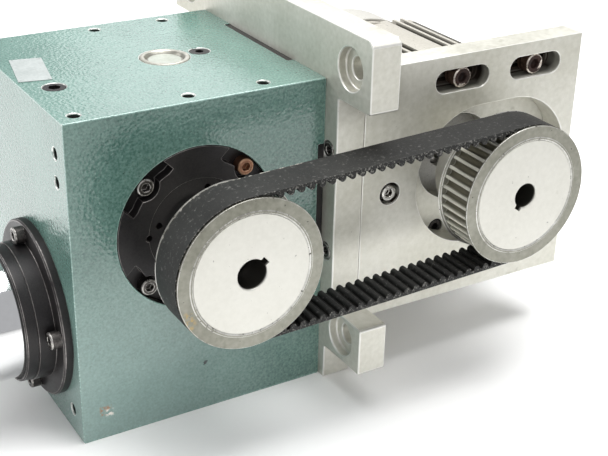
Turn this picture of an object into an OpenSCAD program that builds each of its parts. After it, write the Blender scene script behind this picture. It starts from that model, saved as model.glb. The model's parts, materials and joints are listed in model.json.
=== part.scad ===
// Belt driven linear axis: a gear housing carries a polished ram that slides out
// to the left. A cross shaft with a pinion moves the ram by the rack cut on its
// top. A toothed belt turns the shaft from a motor on a slotted plate at the right.
// Frame: millimetres, +Z up, origin at the centre of the housing's bottom face,
// front (pulley side) toward -Y, ram toward -X, motor toward +X.

/* [Housing] */
// Width of the gear housing along X
body_w = 200; // [196:1:212]
// Depth of the gear housing along Y
body_d = 195; // [190:1:206]
// Height of the gear housing
body_h = 250; // [246:1:262]
// Thickness of the cast walls
wall = 20; // [19:0.5:21]

/* [Input shaft] */
// Height of the input shaft's axis above the base
input_z = 154; // [150:1:158]
// Offset of the input shaft from the housing's middle along X
input_dx = -4; // [-8:1:0]
// Diameter of the shaft end that carries the pulley
input_end_d = 22; // [20:1:24]
// Diameter of the bearing cartridge flange
cartridge_d = 124; // [120:1:128]

/* [Rack and pinion] */
// Gear module of pinion and rack
gear_mod = 3; // [2.8:0.1:3.2]
// Number of pinion teeth
pinion_teeth = 24; // [23:1:25]
// Height of the rack's pitch line above the ram axis
rack_pitch_h = 39; // [37:0.5:40]
// Width of the pinion along the shaft
pinion_w = 40; // [30:1:44]

/* [Ram] */
// Diameter of the polished ram
ram_d = 95; // [92:1:96]
// Offset of the ram axis from the housing's middle along Y
ram_dy = -21.5; // [-24:0.5:-19]
// Length of ram in front of the hub when drawn in
ram_out = 90; // [60:5:140]
// Diameter of the ram's flange
flange_d = 135; // [133:1:138]
// Length of the hub in front of the housing
hub_len = 28.5; // [26:0.5:32]

/* [Timing belt] */
// Belt pitch
pitch = 8; // [8]
// Teeth on each pulley
pulley_teeth = 42; // [40:2:44]
// Teeth on the belt, which sets the distance between the axes
belt_teeth = 100; // [98:2:102]
// Width of the belt
belt_w = 30; // [26:1:31]
// Thickness of the belt's back over the tooth roots
belt_back = 2.6; // [2.2:0.1:3]
// How far the motor's axis stands above the input shaft's axis
motor_rise = 7.5; // [6:0.5:9]

/* [Pulleys] */
// Width of the toothed face between the flanges
pulley_face = 31; // [30.5:0.5:32]
// Thickness of each flange ring
rim_t = 2; // [1.6:0.1:2.4]
// How far the pulley fronts stand in front of the housing
pulley_reach = 80.5; // [78:0.5:82]

/* [Bracket] */
// Thickness of the side bracket
bracket_t = 24; // [22:1:26]
// How far the bracket stands in front of the housing
bracket_mid = 16; // [15:0.5:17]
// How far the four ears reach beyond the housing
ear_reach = 57; // [54:1:60]
// Height of the bracket
bracket_h = 292; // [286:1:298]
// Height of the ear holes' row above the middle row of the housing, top
ear_hole_top = 265; // [262:0.5:267]
// Height of the lower ear holes
ear_hole_low = 50; // [48:0.5:52]

/* [Motor plate] */
// Thickness of the motor plate
plate_t = 22.5; // [21:0.5:24]
// Length of the motor plate along X
plate_len = 204; // [202:1:210]
// Thickness of the slide plate behind it
slide_t = 20; // [18:1:22]
// Length of the four slots
slot_len = 50; // [46:1:54]

/* [Motor] */
// Diameter over the cooling fins
fin_d = 158; // [154:1:162]
// Length of the finned frame
frame_len = 82; // [80:1:90]
// Diameter of the rear cowl
cowl_d = 150; // [146:1:152]
// Length of the rear cowl
cowl_len = 88; // [84:1:94]
// Diameter of the motor shaft end
motor_end_d = 19; // [18:1:20]

/* [Hidden] */
$fn = 96;
left_x = -body_w / 2;
right_x = body_w / 2;
front_y = -body_d / 2;
back_y = body_d / 2;
in_x = input_dx;
pinion_r = gear_mod * pinion_teeth / 2;
pinion_tip = pinion_r + gear_mod;
pinion_root = pinion_r - 1.25 * gear_mod;
ram_y = ram_dy;
ram_r = ram_d / 2;
ram_z = input_z - pinion_r - rack_pitch_h;
ram_x0 = left_x - hub_len - ram_out;
ram_x1 = right_x - wall - 1.5;
rack_tip = ram_z + rack_pitch_h + gear_mod;
rack_root = ram_z + rack_pitch_h - 1.25 * gear_mod;
gear_step = PI * gear_mod;
rack_x0 = in_x - sqrt(pow(pinion_tip + 1, 2) - pow(input_z - ram_z - ram_r, 2)) - 2;
mesh_play = 0.12;
bore_fit = 0.03;
seat = 0.05;

cart_r = cartridge_d / 2;
cart_t = 14;
cart_spigot_r = 50;
cart_spigot_end = 33;
pocket_t = 9;
cart_screw_r = cart_r - 7;
nut_r = 38;
nut_t = 11.7;
fb_r = 36;
fb_w = 17;
fb_pitch = 26.75;
fb_ball = 5.5;
fb_y = front_y + 12;
rb_r = 31;
rb_w = 16;
rb_pitch = 23;
rb_ball = 4.75;
rb_y = back_y - 20;
cap_r = 50;

flange_t = 7;
flange_spigot_r = ram_r + 6;
bush_r = ram_r + 3;
hub_r = ram_r + 5;
flange_screw_r = flange_d / 2 - 8;
flange_turn = 4;
wiper_w = 5.5;
keeper_w = 9;

recess_r = body_h / 2 - 19;
recess_t = 5.5;
recess_z = input_z + 3;
access_r = recess_r - 26;
cover_screw_r = recess_r - 14;

pulley_pd = pitch * pulley_teeth / PI;
pulley_r = pulley_pd / 2 - 0.686;
belt_in_r = pulley_r + 0.1;
belt_out_r = belt_in_r + belt_back;
rim_r = pulley_r + 2.3;
face_r = pulley_r - 9;
centre = pitch * (belt_teeth - pulley_teeth) / 2;
motor_x = in_x + sqrt(pow(centre, 2) - pow(motor_rise, 2));
motor_z = input_z + motor_rise;
belt_tilt = asin(motor_rise / centre);
pulley_y0 = front_y - pulley_reach;
pulley_w = pulley_face + 2 * rim_t;
pulley_y1 = pulley_y0 + pulley_w;
belt_y0 = pulley_y0 + pulley_w / 2 - belt_w / 2;
left_hub_r = 25;
right_hub_r = 36;
left_hub_end = front_y - 3;
right_hub_end = front_y - 15.5;
shaft_y0 = pulley_y0 + 27;
key_y0 = shaft_y0 + 4;
key_tail = 2;
left_key_turn = 40;
right_key_turn = 235;

br_x0 = right_x;
br_x1 = right_x + bracket_t;
plate_y0 = front_y - bracket_mid;
plate_y1 = plate_y0 + plate_t;
plate_x1 = br_x1 + plate_len;
plate_z0 = input_z - 102.5;
plate_z1 = input_z + 102;
slot_cx = br_x1 + 0.602 * plate_len;
slot_dx = 35.4;
slot_dz = 81.9;
slot_h = 17.8;
slot_floor = plate_t - 7.4;
screw_cx = slot_cx + 1.7;
bore_cx = slot_cx + 0.9;
bore_half = 15.5;
plate_bore_r = 57.9;
slide_y0 = plate_y1;
slide_y1 = plate_y1 + slide_t;
slide_half = slot_dz + 12;
slide_x0 = screw_cx - 78;
slide_x1 = screw_cx + 75;
block_x1 = br_x1 + 34;
block_screw_x = br_x1 + 25.6;
block_d = 28;
end_screw_dz = 41.5;
ear_y = front_y - ear_reach + 27;
ear_low_z0 = ear_hole_low - 21;
ear_low_z1 = ear_hole_low + 18;
ear_top_z0 = ear_hole_top - 26;
foot_y = front_y - 7.6;

mo_y = slide_y1;
fr_y0 = mo_y + 12;
fr_y1 = fr_y0 + frame_len;
cowl_r = cowl_d / 2;
frame_r = fin_d / 2 - 13;
bore_r = frame_r - 8;
mb_r = 23.5;
mb_w = 14;
mb_pitch = 16.75;
mb_ball = 3.9;
mb_y0 = mo_y + 5;
mb_y1 = fr_y1 + 2;
shield_r = 68.3;
motor_holes = [for (s = [-1, 1], t = [-1, 1]) [s * 15, t * 60]];
box_x0 = motor_x + fin_d / 2 - 3;
box_y0 = fr_y0 + 4;

paint = [0.42, 0.62, 0.57];
black = [0.10, 0.10, 0.11];
steel = [0.62, 0.63, 0.65];
alu = [0.80, 0.81, 0.80];
chrome = [0.90, 0.91, 0.93];
rubber = [0.07, 0.07, 0.07];
bronze = [0.72, 0.53, 0.28];
motor_grey = [0.74, 0.73, 0.68];

// Turn a shape drawn upward along +Z so that it points to the front, back, left or right.
module to_front() { rotate([90, 0, 0]) children(); }
module to_back() { rotate([-90, 0, 0]) children(); }
module to_left() { rotate([0, -90, 0]) children(); }
module to_right() { rotate([0, 90, 0]) children(); }

// Cylinder along +Y from y0 to y1 around the axis x, z.
module rod_y(x, z, r, y0, y1) {
    translate([x, y0, z]) to_back() cylinder(r = r, h = y1 - y0);
}

// Cylinder along +X from x0 to x1 around the axis y, z.
module rod_x(y, z, r, x0, x1) {
    translate([x0, y, z]) to_right() cylinder(r = r, h = x1 - x0);
}

// Ring along +Y.
module ring_y(x, z, ro, ri, y0, y1) {
    difference() {
        rod_y(x, z, ro, y0, y1);
        rod_y(x, z, ri, y0 - 1, y1 + 1);
    }
}

// Ring along +X.
module ring_x(y, z, ro, ri, x0, x1) {
    difference() {
        rod_x(y, z, ro, x0, x1);
        rod_x(y, z, ri, x0 - 1, x1 + 1);
    }
}

// Threaded hole from a face at z = 0 downward.
module tapped(d, depth) {
    translate([0, 0, -depth]) cylinder(d = d, h = depth + 1);
}

function head_d(d) = d <= 5 ? 8.5 : d <= 6 ? 10 : d <= 8 ? 13 : 16;
function hex_d(d) = (d <= 5 ? 4 : d <= 6 ? 5 : d <= 8 ? 6 : 8) / cos(30);

// Socket head cap screw, head on +Z, underside of the head at z = 0.
module cap_screw(d, len) {
    hr = head_d(d) / 2;
    difference() {
        union() {
            rotate_extrude($fn = 48) polygon([[0, 0], [hr, 0], [hr, d - 0.8],
                [hr - 0.8, d], [0, d]]);
            translate([0, 0, -len]) cylinder(r = d / 2 - seat, h = len + 0.5, $fn = 32);
        }
        translate([0, 0, d - 0.55 * d]) cylinder(d = hex_d(d), h = d, $fn = 6);
    }
}

// Countersunk screw, flat head flush at z = 0.
module flat_screw(d, len) {
    difference() {
        union() {
            translate([0, 0, -0.45 * d]) cylinder(d1 = d, d2 = 1.9 * d, h = 0.45 * d, $fn = 48);
            translate([0, 0, -len]) cylinder(r = d / 2 - seat, h = len - 0.3 * d, $fn = 32);
        }
        translate([0, 0, -0.35 * d]) cylinder(d = hex_d(d) - 1, h = d, $fn = 6);
    }
}

// Headless set screw along +Z.
module set_screw(d, len) {
    difference() {
        cylinder(r = d / 2 - seat, h = len, $fn = 32);
        translate([0, 0, len - 3]) cylinder(d = hex_d(d) - 2, h = 4, $fn = 6);
    }
}

// The three parts of a ball bearing on the Y axis through x, z.
module race_outer(x, z, ro, pitch_r, ball_r, y0, w) {
    translate([x, y0, z]) to_back() difference() {
        cylinder(r = ro, h = w);
        translate([0, 0, -1]) cylinder(r = pitch_r + 0.6 * ball_r, h = w + 2);
        translate([0, 0, w / 2]) rotate_extrude() translate([pitch_r, 0])
            circle(r = ball_r + 0.08, $fn = 32);
    }
}

module race_inner(x, z, ri, pitch_r, ball_r, y0, w) {
    translate([x, y0, z]) to_back() difference() {
        cylinder(r = pitch_r - 0.6 * ball_r, h = w);
        translate([0, 0, -1]) cylinder(r = ri + bore_fit, h = w + 2);
        translate([0, 0, w / 2]) rotate_extrude() translate([pitch_r, 0])
            circle(r = ball_r + 0.08, $fn = 32);
    }
}

module balls(x, z, pitch_r, ball_r, y0, w, count) {
    translate([x, y0 + w / 2, z]) to_back() {
        for (i = [0:count - 1]) rotate(i * 360 / count) translate([pitch_r, 0, 0])
            sphere(r = ball_r, $fn = 32);
        difference() {
            translate([0, 0, -1.2]) cylinder(r = pitch_r + 0.4 * ball_r, h = 2.4);
            translate([0, 0, -2]) cylinder(r = pitch_r - 0.4 * ball_r, h = 4);
        }
    }
}

// Involute gear outline with a tooth gap centred at the bottom.
function inv(a) = tan(a) * 180 / PI - a;
gear_base = pinion_r * cos(20);
gear_half = 90 / pinion_teeth - mesh_play / pinion_r * 90 / PI + inv(20);
function flank(r) = gear_half - inv(acos(min(1, gear_base / r)));
function polar(r, a) = [r * cos(a), r * sin(a)];
gear_n = 5;
function flank_r(i) = gear_base + (pinion_tip - gear_base) * i / gear_n;
gear_points = [for (k = [0:pinion_teeth - 1])
    let (t = 270 + 180 / pinion_teeth + k * 360 / pinion_teeth)
    each concat(
        [polar(pinion_root, t - flank(gear_base) - 0.6)],
        [for (i = [0:gear_n]) polar(flank_r(i), t - flank(flank_r(i)))],
        [for (i = [gear_n:-1:0]) polar(flank_r(i), t + flank(flank_r(i)))],
        [polar(pinion_root, t + flank(gear_base) + 0.6)])];

// Half-round belt tooth: half width at the root, tip radius, depth of the tip centre.
function tooth(w, r, c) = concat([[-w, 0]],
    [for (i = [0:8]) [r * cos(180 + i * 22.5), -c + r * sin(180 + i * 22.5)]], [[w, 0]]);
belt_tooth = tooth(2.6, 2.52, 0.85);
groove = tooth(2.85, 2.72, 0.78);

// Place the points of a profile at angle a on a circle of radius r around cx.
function around(p, r, a, cx) = [for (q = p)
    [cx + (r + q[1]) * cos(a) + q[0] * sin(a), (r + q[1]) * sin(a) - q[0] * cos(a)]];
pulley_step = 360 / pulley_teeth;
pulley_points = [for (k = [0:pulley_teeth - 1])
    each around([for (i = [len(groove) - 1:-1:0]) groove[i]], pulley_r,
        90 + k * pulley_step, 0)];

// Inner and outer outlines of the belt around both pulleys, starting at the top left.
half_n = pulley_teeth / 2;
run_n = centre / pitch;
belt_inner = concat(
    [for (k = [0:half_n - 1]) each around([for (i = [len(belt_tooth) - 1:-1:0])
        belt_tooth[i]], belt_in_r, 90 + (k + 0) * pulley_step, 0)],
    [for (k = [0:run_n - 1], q = belt_tooth) [k * pitch + q[0], -belt_in_r - q[1]]],
    [for (k = [0:half_n - 1]) each around([for (i = [len(belt_tooth) - 1:-1:0])
        belt_tooth[i]], belt_in_r, -90 + k * pulley_step, centre)],
    [for (k = [0:run_n - 1], i = [len(belt_tooth) - 1:-1:0])
        [centre - k * pitch + belt_tooth[i][0], belt_in_r + belt_tooth[i][1]]]);

module stadium(r) {
    circle(r = r, $fn = 180);
    translate([0, -r]) square([centre, 2 * r]);
    translate([centre, 0]) circle(r = r, $fn = 180);
}

// Positions of screws and holes that two or more nodes share.
top_holes = [for (x = [left_x + 12.8, in_x, in_x + 58.6], y = [front_y + 12.3, back_y - 13])
    [x, y]];
left_holes = [for (y = [front_y + 18.5, back_y - 18.5], z = [19.8, 202, 223]) [y, z]];
bracket_holes = [for (y = [front_y + 14, back_y - 14], z = [16, 70, body_h - 14]) [y, z]];
cover_angles = [20, 70, 110, 160, 230, 310];

module housing() {
    color(paint) difference() {
        union() {
            difference() {
                translate([left_x, front_y, 0]) cube([body_w, body_d, body_h]);
                translate([left_x + wall, front_y + wall, wall])
                    cube([body_w - 2 * wall, body_d - 2 * wall, body_h - 2 * wall]);
            }
            // inner bosses for the two bearings
            rod_y(in_x, input_z, cart_r, front_y + wall - 1, front_y + 28.5);
            rod_y(in_x, input_z, 42, back_y - 26, back_y - wall + 1);
        }
        // front: pocket and bore for the cartridge
        rod_y(in_x, input_z, cart_r + 0.3, front_y - 1, front_y + cart_t);
        rod_y(in_x, input_z, cart_spigot_r + 0.05, front_y - 1, front_y + 40);
        for (a = [45:90:315]) translate([in_x + cart_screw_r * cos(a), front_y,
            input_z + cart_screw_r * sin(a)])
            rod_y(0, 0, 4, cart_t - 1, 26.5);
        // back: bore for the rear bearing and its cap screws
        rod_y(in_x, input_z, rb_r + seat, rb_y, back_y + 1);
        rod_y(in_x, input_z, 26, back_y - 30, back_y);
        for (a = [45:90:315]) translate([in_x + 42 * cos(a), back_y, input_z + 42 * sin(a)])
            rod_y(0, 0, 3, -16, 1);
        // left: bore for the ram flange and its screws
        rod_x(ram_y, ram_z, flange_spigot_r + 0.05, left_x - 1, left_x + wall + 1);
        for (a = [0:90:270]) translate([left_x, ram_y - flange_screw_r * cos(a + flange_turn),
            ram_z + flange_screw_r * sin(a + flange_turn)]) rod_x(0, 0, 4, -1, wall - 3);
        // right: shallow round recess and access opening under the side cover
        rod_x(0, recess_z, recess_r, right_x - recess_t, right_x + 1);
        rod_x(0, recess_z, access_r, right_x - wall - 1, right_x);
        for (a = cover_angles) translate([right_x - recess_t, cover_screw_r * cos(a),
            recess_z + cover_screw_r * sin(a)]) rod_x(0, 0, 3, -12, 1);
        for (p = bracket_holes) translate([right_x, p[0], p[1]]) rod_x(0, 0, 5, -17, 1);
        // threaded holes on top, left and underneath
        for (p = top_holes) translate([p[0], p[1], body_h]) tapped(8.5, 18);
        for (p = left_holes) translate([left_x, p[0], p[1]])
            to_left() tapped(8.5, 17);
        for (x = [-1, 1], y = [-1, 1]) translate([x * (body_w / 2 - 30),
            y * (body_d / 2 - 12), 0]) rotate([180, 0, 0]) tapped(8.5, 16);
        // seats of the sight cap and plugs on top
        translate([in_x + 20.4, -2.7, body_h - wall - 1]) cylinder(d = 30.2, h = wall + 2);
        translate([in_x + 20.4, -2.7, body_h - 3]) cylinder(d = 37.4, h = 4);
        translate([left_x + 21, -27.5, body_h - 8]) cylinder(d = 16.2, h = 9);
        translate([in_x + 49.8, -1.3, body_h - 8]) cylinder(d = 15.2, h = 9);
        // counterbores for the saddle screws underneath
        for (x = [-24, 24]) translate([in_x + x, ram_y, -1]) {
            cylinder(d = 14.5, h = 10);
            cylinder(d = 8.6, h = wall + 2);
        }
    }
}

// Thin blank plate riveted to the top.
module rating_label() {
    color(alu) translate([left_x + 18.3, 14.2, body_h]) rotate(-11) difference() {
        translate([-11.8, -25, 0]) cube([23.6, 50, 0.5]);
        for (x = [-9.8, 9.8], y = [-23, 23]) translate([x, y, 0.3])
            cylinder(d = 1.6, h = 1, $fn = 24);
    }
}

module sight_cap() {
    color(alu) translate([in_x + 20.4, -2.7, body_h - 3]) difference() {
        union() {
            cylinder(d = 37, h = 3.6);
            translate([0, 0, -12]) cylinder(d = 30, h = 13);
        }
        translate([0, 0, 3.1]) difference() {
            cylinder(d = 31, h = 1);
            translate([0, 0, -0.5]) cylinder(d = 27.5, h = 2);
        }
        translate([0, 0, 3]) cylinder(d = 8 / cos(30), h = 1, $fn = 6);
        translate([0, 0, -13]) cylinder(d = 24, h = 9);
    }
}

// Two flush dark sealing plugs on top.
module top_plugs() {
    color(black) {
        translate([left_x + 21, -27.5, body_h - 8]) difference() {
            cylinder(d = 16, h = 7.8);
            translate([0, 0, 4]) cylinder(d = 8 / cos(30), h = 5, $fn = 6);
        }
        translate([in_x + 49.8, -1.3, body_h - 8]) difference() {
            cylinder(d = 15, h = 7.8);
            translate([0, 0, 4]) cylinder(d = 6 / cos(30), h = 5, $fn = 6);
        }
    }
}

// Bearing cartridge let into the front, with four deep screw pockets in its rim.
module bearing_cartridge() {
    color(black) translate([in_x, front_y, input_z]) difference() {
        union() {
            rod_y(0, 0, cart_r, 0.2, cart_t);
            rod_y(0, 0, cart_spigot_r, cart_t - 1, cart_spigot_end);
        }
        rod_y(0, 0, nut_r + 0.2, -1, 12);
        rod_y(0, 0, fb_r + seat, -1, 12 + fb_w);
        rod_y(0, 0, fb_r - 5, -1, cart_spigot_end + 1);
        for (a = [45:90:315]) rotate([0, -a, 0]) {
            rod_y(cart_screw_r + 1.5, 0, 11, -1, pocket_t);
            intersection() {
                ring_y(0, 0, cart_r + 2, cart_r - 11, -1, pocket_t);
                translate([cart_r - 14, -2, -22]) cube([20, pocket_t + 4, 44]);
            }
            rod_y(cart_screw_r, 0, 4, 0, cart_t + 1);
        }
        // grub screw hole on the joint with the ring nut
        rod_y(-nut_r, 0, 2.5, -1, 8);
    }
}

module cartridge_screws() {
    color(black) for (a = [45:90:315]) translate([in_x + cart_screw_r * cos(a),
        front_y + pocket_t, input_z + cart_screw_r * sin(a)]) to_front() cap_screw(8, 16);
}

// Ring nut that clamps the front bearing, with four spanner holes.
module cartridge_ring_nut() {
    color(black) translate([in_x, front_y, input_z]) difference() {
        rod_y(0, 0, nut_r, 1, 12);
        rod_y(0, 0, 26 + seat, 0, 10);
        rod_y(0, 0, 23, 0, 13);
        for (a = [75:90:345]) rotate([0, -a, 0]) rod_y(31, 0, 2.5, 0, 7);
        rod_y(-nut_r, 0, 2.5, 0, 8);
    }
}

// Rubber lip seal pressed into the ring nut.
module shaft_seal() {
    color(rubber) translate([in_x, front_y, input_z]) difference() {
        rod_y(0, 0, 26, 1.4, 10);
        rod_y(0, 0, 15.08, 0, 11);
        ring_y(0, 0, 23, 18, 0, 4);
    }
}

module bearing_outer_rings() {
    color(steel) {
        race_outer(in_x, input_z, fb_r, fb_pitch, fb_ball, fb_y, fb_w);
        race_outer(in_x, input_z, rb_r, rb_pitch, rb_ball, rb_y, rb_w);
    }
}

module bearing_balls() {
    color(chrome) {
        balls(in_x, input_z, fb_pitch, fb_ball, fb_y, fb_w, 9);
        balls(in_x, input_z, rb_pitch, rb_ball, rb_y, rb_w, 9);
    }
}

module bearing_inner_rings() {
    color(steel) {
        race_inner(in_x, input_z, 17.5, fb_pitch, fb_ball, fb_y, fb_w);
        race_inner(in_x, input_z, 15, rb_pitch, rb_ball, rb_y, rb_w);
    }
}

module rear_cap() {
    color(paint) translate([in_x, back_y, input_z]) difference() {
        union() {
            rod_y(0, 0, cap_r, 0, 7);
            rod_y(0, 0, rb_r, -4, 1);
        }
        rod_y(0, 0, 24, -5, 3);
        for (a = [45:90:315]) rotate([0, -a, 0]) rod_y(42, 0, 3.3, -1, 8);
    }
}

module rear_cap_screws() {
    color(black) for (a = [45:90:315]) translate([in_x + 42 * cos(a), back_y + 7,
        input_z + 42 * sin(a)]) to_back() cap_screw(6, 18);
}

// Round black plate that closes the access opening behind the bracket.
module side_cover() {
    color(black) difference() {
        intersection() {
            rod_x(0, recess_z, recess_r - 0.4, right_x - recess_t, right_x - 0.5);
            translate([right_x - 10, front_y + 0.6, 0]) cube([20, body_d - 1.2, body_h - 0.6]);
        }
        for (a = cover_angles) translate([right_x - 0.5, cover_screw_r * cos(a),
            recess_z + cover_screw_r * sin(a)]) {
            rod_x(0, 0, 3.2, -8, 1);
            to_right() translate([0, 0, -2.85]) cylinder(d1 = 6.2, d2 = 13, h = 3.2, $fn = 48);
        }
    }
}

module side_cover_screws() {
    color(steel) for (a = cover_angles) translate([right_x - 0.7, cover_screw_r * cos(a),
        recess_z + cover_screw_r * sin(a)]) to_right() flat_screw(6, 15);
}

// Flange that guides the ram out of the left side.
module ram_flange() {
    color(black) translate([left_x, ram_y, ram_z]) difference() {
        union() {
            rod_x(0, 0, flange_d / 2, -flange_t, 0);
            rod_x(0, 0, hub_r, -hub_len + keeper_w, -flange_t + 1);
            rod_x(0, 0, flange_spigot_r, -1, wall + 8);
        }
        rod_x(0, 0, bush_r, -hub_len, wall + 9);
        for (a = [0:90:270]) translate([0, -flange_screw_r * cos(a + flange_turn),
            flange_screw_r * sin(a + flange_turn)]) rod_x(0, 0, 4.2, -flange_t - 1, 1);
        // turned chamfer on the rim
        difference() {
            rod_x(0, 0, flange_d / 2 + 2, -flange_t - 0.1, -flange_t + 1.2);
            translate([-flange_t + 1.2, 0, 0]) to_left()
                cylinder(r1 = flange_d / 2, r2 = flange_d / 2 - 1.3, h = 1.31);
        }
    }
}

module ram_flange_screws() {
    color(black) for (a = [0:90:270]) translate([left_x - flange_t,
        ram_y - flange_screw_r * cos(a + flange_turn),
        ram_z + flange_screw_r * sin(a + flange_turn)]) to_left() cap_screw(8, flange_t + 14);
}

module ram_bush() {
    color(bronze) ring_x(ram_y, ram_z, bush_r - seat, ram_r + 0.05,
        left_x - hub_len + keeper_w, left_x + wall + 7);
}

// Black ring at the end of the hub that holds the wiper.
module ram_keeper() {
    color(black) translate([left_x - hub_len, ram_y, ram_z]) difference() {
        union() {
            rod_x(0, 0, hub_r - 1, 1, keeper_w);
            translate([1, 0, 0]) to_left() cylinder(r1 = hub_r - 1, r2 = hub_r - 2, h = 1);
        }
        rod_x(0, 0, ram_r + 0.4, -1, keeper_w + 1);
        rod_x(0, 0, ram_r + 2.2, -1, wiper_w);
    }
}

module ram_wiper() {
    color(rubber) translate([left_x - hub_len, ram_y, ram_z]) difference() {
        union() {
            rod_x(0, 0, ram_r + 2.15, 0.6, wiper_w);
            translate([0.6, 0, 0]) to_left() cylinder(r1 = ram_r + 1.6, r2 = ram_r + 0.7, h = 1.4);
        }
        rod_x(0, 0, ram_r + 0.08, -2, wiper_w + 1);
    }
}

// Bronze saddle that carries the ram under the pinion.
module ram_saddle() {
    color(bronze) difference() {
        translate([in_x - 34, ram_y - 34, wall]) cube([68, 68, ram_z - wall - 22]);
        rod_x(ram_y, ram_z, ram_r + 0.05, in_x - 40, in_x + 40);
        for (x = [-24, 24]) translate([in_x + x, ram_y, wall - 1]) cylinder(d = 8.1, h = 9.5);
    }
}

module ram_saddle_screws() {
    color(steel) for (x = [-24, 24]) translate([in_x + x, ram_y, 9]) rotate([180, 0, 0])
        cap_screw(8, wall - 9 + 7);
}

// Polished ram with the rack cut along its top.
module ram() {
    rack_n = floor((ram_x1 - in_x) / gear_step);
    rack_m = floor((in_x - rack_x0) / gear_step - 0.3);
    gap = gear_step / 4 + mesh_play / 2;
    color(chrome) difference() {
        union() {
            rod_x(ram_y, ram_z, ram_r, ram_x0 + 3, ram_x1);
            translate([ram_x0 + 3, ram_y, ram_z]) to_left()
                cylinder(r1 = ram_r, r2 = ram_r - 3, h = 3);
        }
        translate([rack_x0, ram_y - ram_r, rack_tip]) cube([ram_x1 - rack_x0 + 1, ram_d, ram_r]);
        for (k = [-rack_m:rack_n]) translate([in_x + (k + 0.5) * gear_step, ram_y + ram_r,
            ram_z + rack_pitch_h]) to_front() linear_extrude(ram_d)
            polygon([[-gap + 1.25 * gear_mod * tan(20), -1.25 * gear_mod],
                [gap - 1.25 * gear_mod * tan(20), -1.25 * gear_mod],
                [gap + 1.1 * gear_mod * tan(20), 1.1 * gear_mod],
                [-gap - 1.1 * gear_mod * tan(20), 1.1 * gear_mod]]);
        translate([ram_x0, ram_y, ram_z]) to_left() {
            tapped(21, 40);
            translate([0, 0, -1.5]) cylinder(d1 = 21, d2 = 25, h = 2);
            for (a = [45:90:315]) rotate(a) translate([30, 0, 0]) tapped(8.5, 20);
        }
    }
}

module keyway(r, turn, w, rise, y0, y1) {
    rotate([0, -turn, 0]) translate([0, y0, -w / 2]) cube([r + rise, y1 - y0, w]);
}

module input_shaft() {
    color(steel) translate([in_x, 0, input_z]) difference() {
        union() {
            rod_y(0, 0, input_end_d / 2, shaft_y0, left_hub_end + 1);
            translate([0, shaft_y0, 0]) to_front()
                cylinder(r1 = input_end_d / 2, r2 = input_end_d / 2 - 1, h = 1);
            rod_y(0, 0, 15, left_hub_end, front_y + 12);
            rod_y(0, 0, 17.5, front_y + 12, front_y + 12 + fb_w + 1);
            rod_y(0, 0, 21, front_y + 12 + fb_w, ram_y - pinion_w / 2);
            rod_y(0, 0, 19, ram_y - pinion_w / 2 - 1, ram_y + pinion_w / 2);
            rod_y(0, 0, 15, ram_y + pinion_w / 2 - 1, back_y - 3.5);
        }
        keyway(input_end_d / 2 - 3.5, left_key_turn, 6, 5, key_y0, left_hub_end - key_tail);
        rotate([0, 180, 0]) translate([16, ram_y - 17, -5]) cube([6, 34, 10]);
    }
}

module pinion() {
    color(steel) translate([in_x, ram_y + pinion_w / 2, input_z]) difference() {
        to_front() linear_extrude(pinion_w) polygon(gear_points);
        rod_y(0, 0, 19 + bore_fit, -pinion_w - 1, 1);
        rotate([0, 180, 0]) translate([10, -pinion_w - 1, -5]) cube([12.3, pinion_w + 2, 10]);
    }
}

module pinion_key() {
    color(steel) translate([in_x, 0, input_z]) rotate([0, 180, 0])
        translate([16.05, ram_y - 16.9, -4.95]) cube([6, 33.8, 9.9]);
}

module shaft_spacer() {
    color(steel) ring_y(in_x, input_z, 20, 15 + bore_fit, ram_y + pinion_w / 2, rb_y);
}

// Toothed pulley around the Y axis with its front face at y = 0.
module pulley(bore_d, turn, hub_r, hub_end) {
    difference() {
        union() {
            translate([0, pulley_w - rim_t, 0]) rotate([0, -belt_tilt, 0]) to_front()
                linear_extrude(pulley_face) polygon(pulley_points);
            rod_y(0, 0, face_r, 0, rim_t + 1);
            rod_y(0, 0, face_r, pulley_w - rim_t - 1, pulley_w);
            rod_y(0, 0, hub_r, pulley_w - 1, hub_end);
        }
        rod_y(0, 0, bore_d / 2 + bore_fit, -1, hub_end + 1);
        translate([0, -1, 0]) to_back()
            cylinder(r1 = bore_d / 2 + 1.8, r2 = bore_d / 2, h = 1.8);
        keyway(bore_d / 2, turn, 6, 2.8, -1, hub_end + 1);
        for (a = [0, 90]) rotate([0, -turn - a, 0]) translate([0, hub_end - 7, 0])
            to_right() cylinder(d = 6, h = hub_r + 2);
    }
}

// Flange rings on both sides of the teeth.
module pulley_rims() {
    for (y = [0, pulley_w - rim_t]) difference() {
        rod_y(0, 0, rim_r, y, y + rim_t);
        rod_y(0, 0, face_r + seat, y - 1, y + rim_t + 1);
        // sloped inner lip that leads the belt in
        translate([0, y == 0 ? rim_t - 1.2 : y - 0.01, 0]) to_back() difference() {
            cylinder(r = rim_r + 1, h = 1.21);
            translate([0, 0, -0.01]) cylinder(r1 = y == 0 ? rim_r : pulley_r + 0.8,
                r2 = y == 0 ? pulley_r + 0.8 : rim_r, h = 1.25);
        }
    }
    // turned step on the outer face
    difference() {
        rod_y(0, 0, face_r + 2.4, -0.5, 0.5);
        rod_y(0, 0, face_r + 0.8, -1, 1);
    }
}

module pulley_key(r, turn, y0, y1) {
    rotate([0, -turn, 0]) translate([r - 3.4, y0, -2.95]) cube([6, y1 - y0, 5.9]);
}

module pulley_grubs(r, turn, y) {
    rotate([0, -turn, 0]) translate([r + 2.7, y, 0]) to_right() set_screw(6, 10);
    rotate([0, -turn - 90, 0]) translate([r + 0.1, y, 0]) to_right() set_screw(6, 12);
}

module input_pulley() {
    color(alu) translate([in_x, pulley_y0, input_z])
        pulley(input_end_d, left_key_turn, left_hub_r, left_hub_end - pulley_y0);
}

module input_pulley_flanges() {
    color(steel) translate([in_x, pulley_y0, input_z]) pulley_rims();
}

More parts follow.
